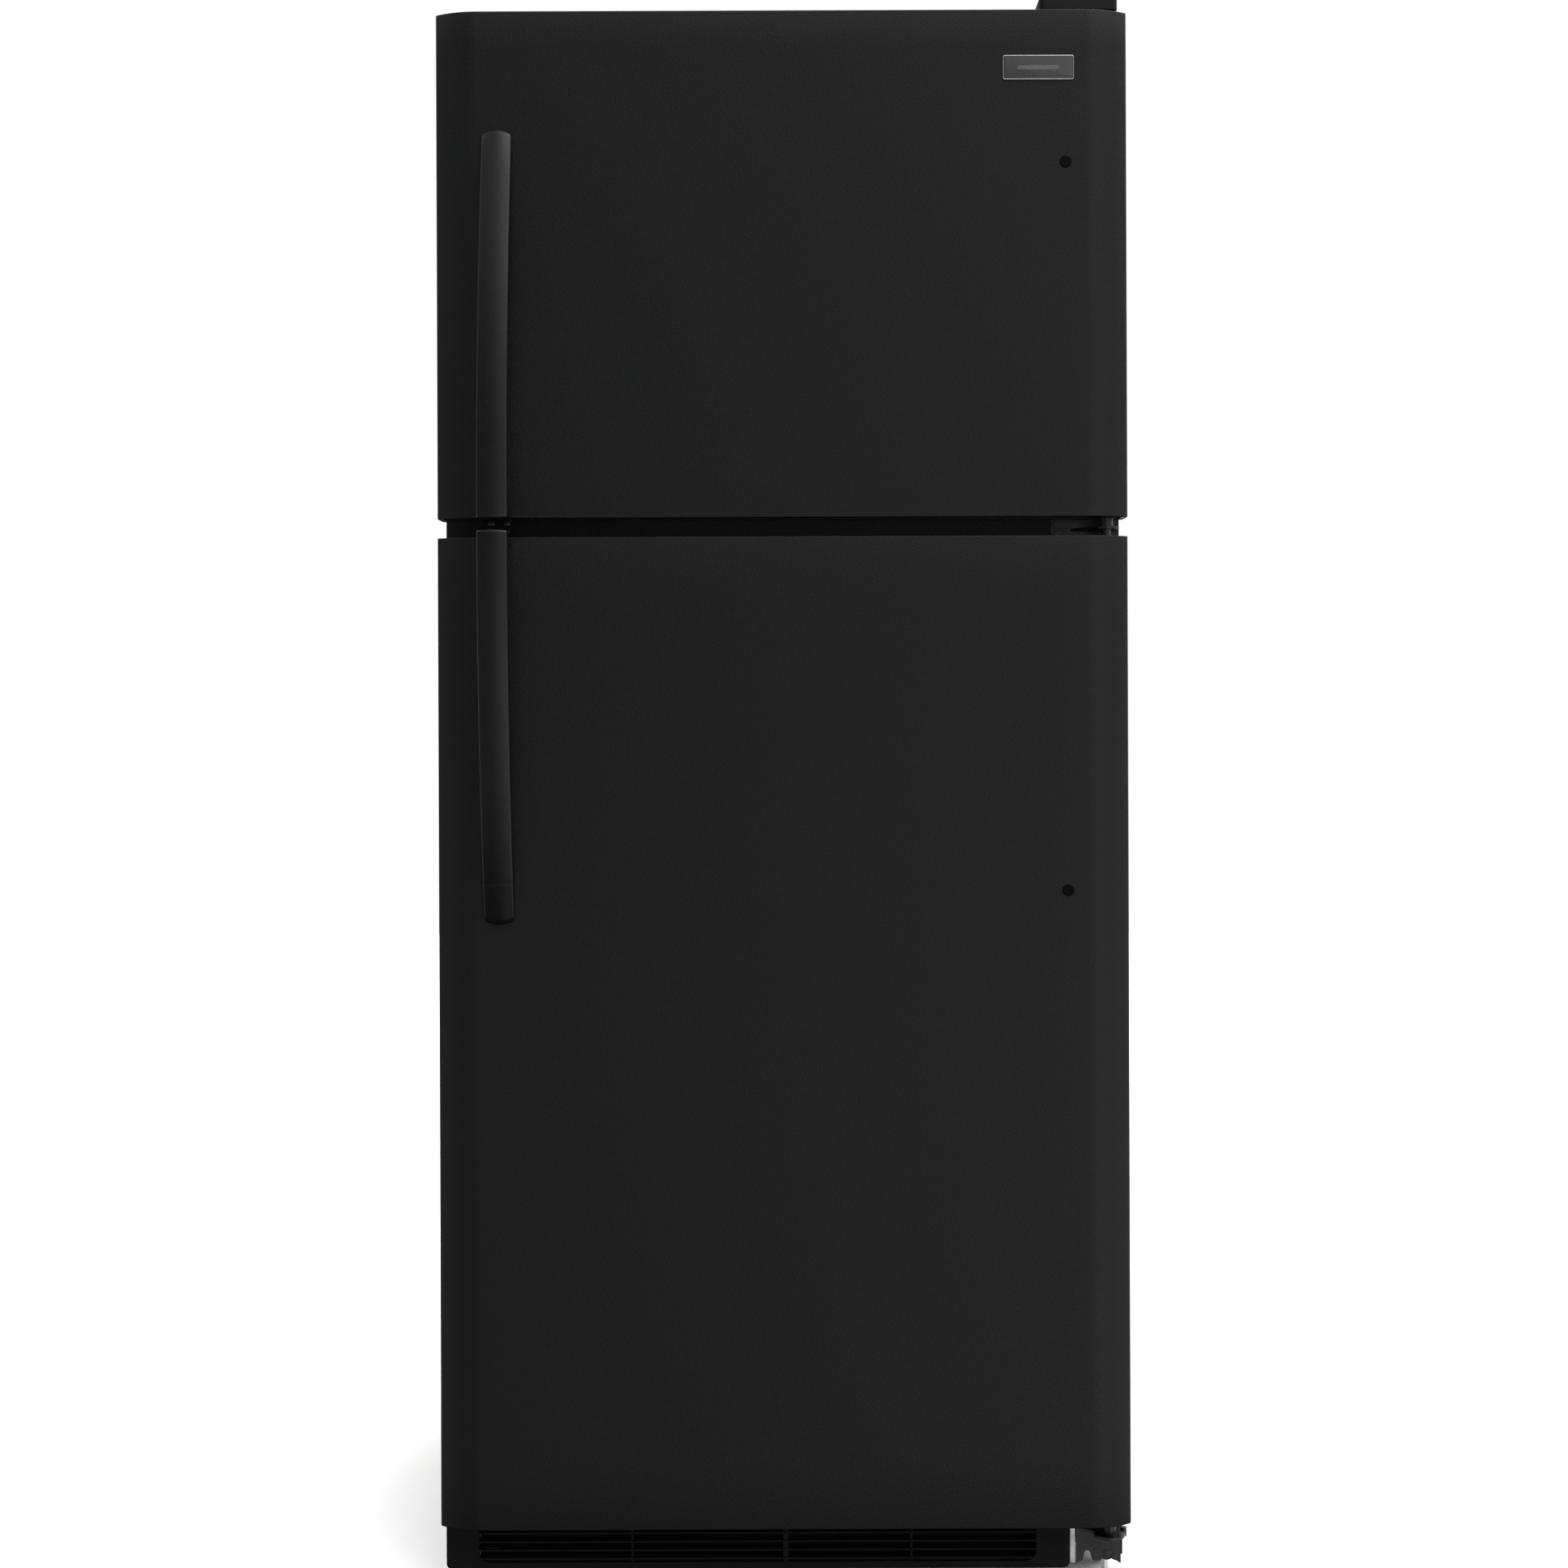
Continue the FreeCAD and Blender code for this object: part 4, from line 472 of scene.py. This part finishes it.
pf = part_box("freezer_door_plugs")
pr_lo, pr_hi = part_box("fridge_door_plug")
PLUG_X, PLUG_ZF, PLUG_ZR = 0.312, 1.578, (pr_lo.z + pr_hi.z) / 2
bm = bmesh.new()
plug_head(bm, PLUG_X, PLUG_ZF)
lathe(bm, [(0.0046, 0.0), (0.0048, 0.0006), (0.0048, 0.0052), (0.0042, 0.0060)], (PLUG_X, YF + 0.0012, PLUG_ZF), "y", 24, 1)
tz = pf[1].z
lathe(bm, [(0.0049, -0.0086), (0.0050, -0.0027), (0.0104, -0.0026), (0.0105, -0.0017), (0.0100, -0.0013), (0.0074, -0.0002), (0.0064, 0.0), (0.0030, -0.0001), (0.0006, -0.0002)], (-0.360, -0.3035, tz), "z", 40, 1)
finish_mesh(bm, "freezer_plugs_turned", "black_plastic", "freezer_door", ("freezer_door_plugs",), smooth=35, dist=0, mat="plug_black")
bm = bmesh.new()
plug_head(bm, PLUG_X, PLUG_ZR)
lathe(bm, [(0.0046, 0.0), (0.0048, 0.0006), (0.0048, 0.0052), (0.0042, 0.0060)], (PLUG_X, YF + 0.0012, PLUG_ZR), "y", 24, 1)
finish_mesh(bm, "fridge_plug_turned", "black_plastic", "fridge_door", ("fridge_door_plug",), smooth=35, dist=0, mat="plug_black")

# ------------------------------------------------------------------ painted shade behind the toe grille: near-black folded sheet with a rolled lower lip, hiding the lit floor through the slots in place of the shade under the cabinet
t_lo, t_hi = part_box("toe_grille")
bx0, bx1 = t_lo.x + 0.0347, t_hi.x - 0.006
yb = t_lo.y + 0.026
prof = [(yb, 0.0575), (yb, 0.0120)]
for k in range(1, 7):
    a = math.pi / 2 * k / 6
    prof.append((yb + 0.004 * (1 - math.cos(a)), 0.0120 - 0.004 * math.sin(a)))
prof.append((yb + 0.012, 0.0080))
back = [(prof[-1][0], prof[-1][1] + 0.0008)]
for k in range(6, 0, -1):
    a = math.pi / 2 * k / 6
    back.append((yb + 0.0008 + 0.0034 * (1 - math.cos(a)), 0.0122 - 0.0034 * math.sin(a)))
back += [(yb + 0.0008, 0.0122), (yb + 0.0008, 0.0575)]
bm = bmesh.new()
poly2 = prof + back
xs = [bx0 + (bx1 - bx0) * i / 8.0 for i in range(9)]
loops(bm, [[(x, y, z) for y, z in poly2] for x in xs])
# painted shade: near-black sheet seen through the grille slots, standing in for the shade under the cabinet
finish_mesh(bm, "toe_shade_sheet", "black_plastic", "cabinet", (), smooth=30, dist=0, mat="plug_black")

# ------------------------------------------------------------------ edges of the CAD parts broken as on moulded and pressed parts
def soften(node, width, segs=2, angle=40.0):
    o = frame["nodes"][node]
    wl = o.modifiers.new("weld", "WELD")
    wl.merge_threshold = 2e-6
    dc = o.modifiers.new("flat", "DECIMATE")
    dc.decimate_type = "DISSOLVE"
    dc.angle_limit = math.radians(0.6)
    b = o.modifiers.new("edge", "BEVEL")
    b.width = width
    b.segments = segs
    b.limit_method = "ANGLE"
    b.angle_limit = math.radians(angle)
    b.use_clamp_overlap = True
    b.harden_normals = False
    wn = o.modifiers.new("normals", "WEIGHTED_NORMAL")
    wn.keep_sharp = False
    wn.weight = 50
SOFT = {}
for n in ("freezer_door_caps", "fridge_door_caps", "toe_grille", "top_hinge_cover", "control_housing"):
    SOFT[n] = 0.0005
for n in ("dairy_box", "door_bins", "freezer_door_racks", "crisper_left", "crisper_right", "dairy_lid", "shelf_frames"):
    SOFT[n] = 0.0007
for n in ("bottom_hinge", "middle_hinge", "top_hinge", "roller_brackets", "evaporator_cover", "temperature_knob", "dairy_lid", "cabinet_wrapper", "rear_cover", "base_pan", "drain_pan", "condenser_fan_shroud"):
    SOFT[n] = 0.0004
for n in ("freezer_door_liner", "fridge_door_liner", "fridge_liner", "freezer_liner"):
    SOFT[n] = 0.0012
for n, wdt in SOFT.items():
    soften(n, wdt)

# ------------------------------------------------------------------ camera
CAM = dict(x=-0.001, z=0.998, dist=2.6, fpx=2921.0, sx=0.0011, sy=-0.0591, roll=-0.21)
cd = bpy.data.cameras.new("camera")
cam = bpy.data.objects.new("camera", cd)
sc.collection.objects.link(cam)
sc.camera = cam
cd.sensor_width = 36.0
cd.sensor_fit = "HORIZONTAL"
cd.lens = 36.0 * CAM["fpx"] / 1932.0
cd.clip_start, cd.clip_end = 0.05, 60.0
cam.location = (CAM["x"], -0.3425 - CAM["dist"], CAM["z"])
cam.rotation_euler = (Matrix.Rotation(math.radians(90), 4, "X") @ Matrix.Rotation(math.radians(CAM["roll"]), 4, "Z")).to_euler()
cd.shift_x, cd.shift_y = CAM["sx"], CAM["sy"]

# ------------------------------------------------------------------ stage and light
def disc(radius, z, n=96):
    bm = bmesh.new()
    rings = []
    for k in range(1, 7):
        r = radius * k / 6.0
        rings.append([bm.verts.new((r * math.cos(2 * math.pi * i / n), r * math.sin(2 * math.pi * i / n), z)) for i in range(n)])
    c = bm.verts.new((0, 0, z))
    for i in range(n):
        bm.faces.new((c, rings[0][i], rings[0][(i + 1) % n]))
        for a, b in zip(rings, rings[1:]):
            bm.faces.new((a[i], b[i], b[(i + 1) % n], a[(i + 1) % n]))
    me = bpy.data.meshes.new("floor")
    bm.to_mesh(me); bm.free()
    o = bpy.data.objects.new("floor", me)
    sc.collection.objects.link(o)
    return o

floor = disc(7.0, -0.0008)
floor.data.materials.append(material("floor_pale", (0.90, 0.90, 0.895), 0.7, spec=0.1, var=0.008, cscale=3.0, bump=0.05, bscale=80, bdist=0.0003))
floor.visible_glossy = False

w = bpy.data.worlds.new("studio")
sc.world = w
w.use_nodes = True
nt = w.node_tree
nt.nodes.clear()
L = nt.links.new
wo = nt.nodes.new("ShaderNodeOutputWorld")
bg_cam = nt.nodes.new("ShaderNodeBackground")
bg_cam.inputs["Color"].default_value = (1, 1, 1, 1)
bg_cam.inputs["Strength"].default_value = 1.0
bg_l = nt.nodes.new("ShaderNodeBackground")
mix = nt.nodes.new("ShaderNodeMixShader")
lp = nt.nodes.new("ShaderNodeLightPath")
tc = nt.nodes.new("ShaderNodeTexCoord")
sep = nt.nodes.new("ShaderNodeSeparateXYZ")
L(tc.outputs["Generated"], sep.inputs[0])

def curve(sock, points, scale):
    # brightness along one direction of the sky, as a ramp between stated values
    mr = nt.nodes.new("ShaderNodeMapRange")
    mr.inputs["From Min"].default_value = -1.0
    mr.inputs["From Max"].default_value = 1.0
    L(sock, mr.inputs["Value"])
    rp = nt.nodes.new("ShaderNodeValToRGB")
    rp.color_ramp.interpolation = "LINEAR"
    el = rp.color_ramp.elements
    while len(el) > 2:
        el.remove(el[0])
    pts = sorted(points)
    for k, (p, val) in enumerate(pts):
        e = el[k] if k < 2 else el.new((p + 1) / 2)
        e.position = (p + 1) / 2
        c = val / scale
        e.color = (c, c, c, 1)
    L(mr.outputs["Result"], rp.inputs["Fac"])
    m2 = nt.nodes.new("ShaderNodeMath")
    m2.operation = "MULTIPLY"
    m2.inputs[1].default_value = scale
    L(rp.outputs["Color"], m2.inputs[0])
    return m2.outputs["Value"]

SKY_Z = [(-1.0, 0.05), (-0.62, 0.09), (-0.50, 0.46), (-0.38, 1.45), (-0.22, 1.34), (-0.08, 1.14), (0.05, 0.98), (0.2, 0.74), (0.32, 0.98), (0.46, 2.0), (0.70, 3.0), (1.0, 3.0)]
SKY_X = [(-1.0, 0.50), (-0.6, 0.44), (-0.3, 0.26), (-0.13, 0.36), (0.0, 0.60), (0.13, 1.06), (0.28, 1.72), (0.5, 1.35), (0.75, 1.1), (1.0, 1.1)]
gz = curve(sep.outputs["Z"], SKY_Z, 4.0)
gx = curve(sep.outputs["X"], SKY_X, 2.0)
mu = nt.nodes.new("ShaderNodeMath")
mu.operation = "MULTIPLY"
L(gz, mu.inputs[0])
L(gx, mu.inputs[1])
L(mu.outputs["Value"], bg_l.inputs["Strength"])
bg_l.inputs["Color"].default_value = (1, 1, 1, 1)
L(lp.outputs["Is Camera Ray"], mix.inputs["Fac"])
L(bg_l.outputs[0], mix.inputs[1])
L(bg_cam.outputs[0], mix.inputs[2])
L(mix.outputs[0], wo.inputs["Surface"])

def area(name, loc, target, size, power, color=(1, 1, 1)):
    ld = bpy.data.lights.new(name, "AREA")
    ld.shape = "RECTANGLE"
    ld.size, ld.size_y = size
    ld.energy = power
    ld.color = color
    o = bpy.data.objects.new(name, ld)
    sc.collection.objects.link(o)
    o.location = loc
    o.rotation_euler = (Vector(target) - Vector(loc)).to_track_quat("-Z", "Y").to_euler()
    return o

top = area("top", (-0.6, -0.6, 4.6), (0, 0, 0), (6.0, 6.0), 165)
top.visible_glossy = False
sc.view_settings.view_transform = "Standard"
sc.view_settings.look = "None"
sc.view_settings.exposure = 0.0
sc.view_settings.gamma = 1.0
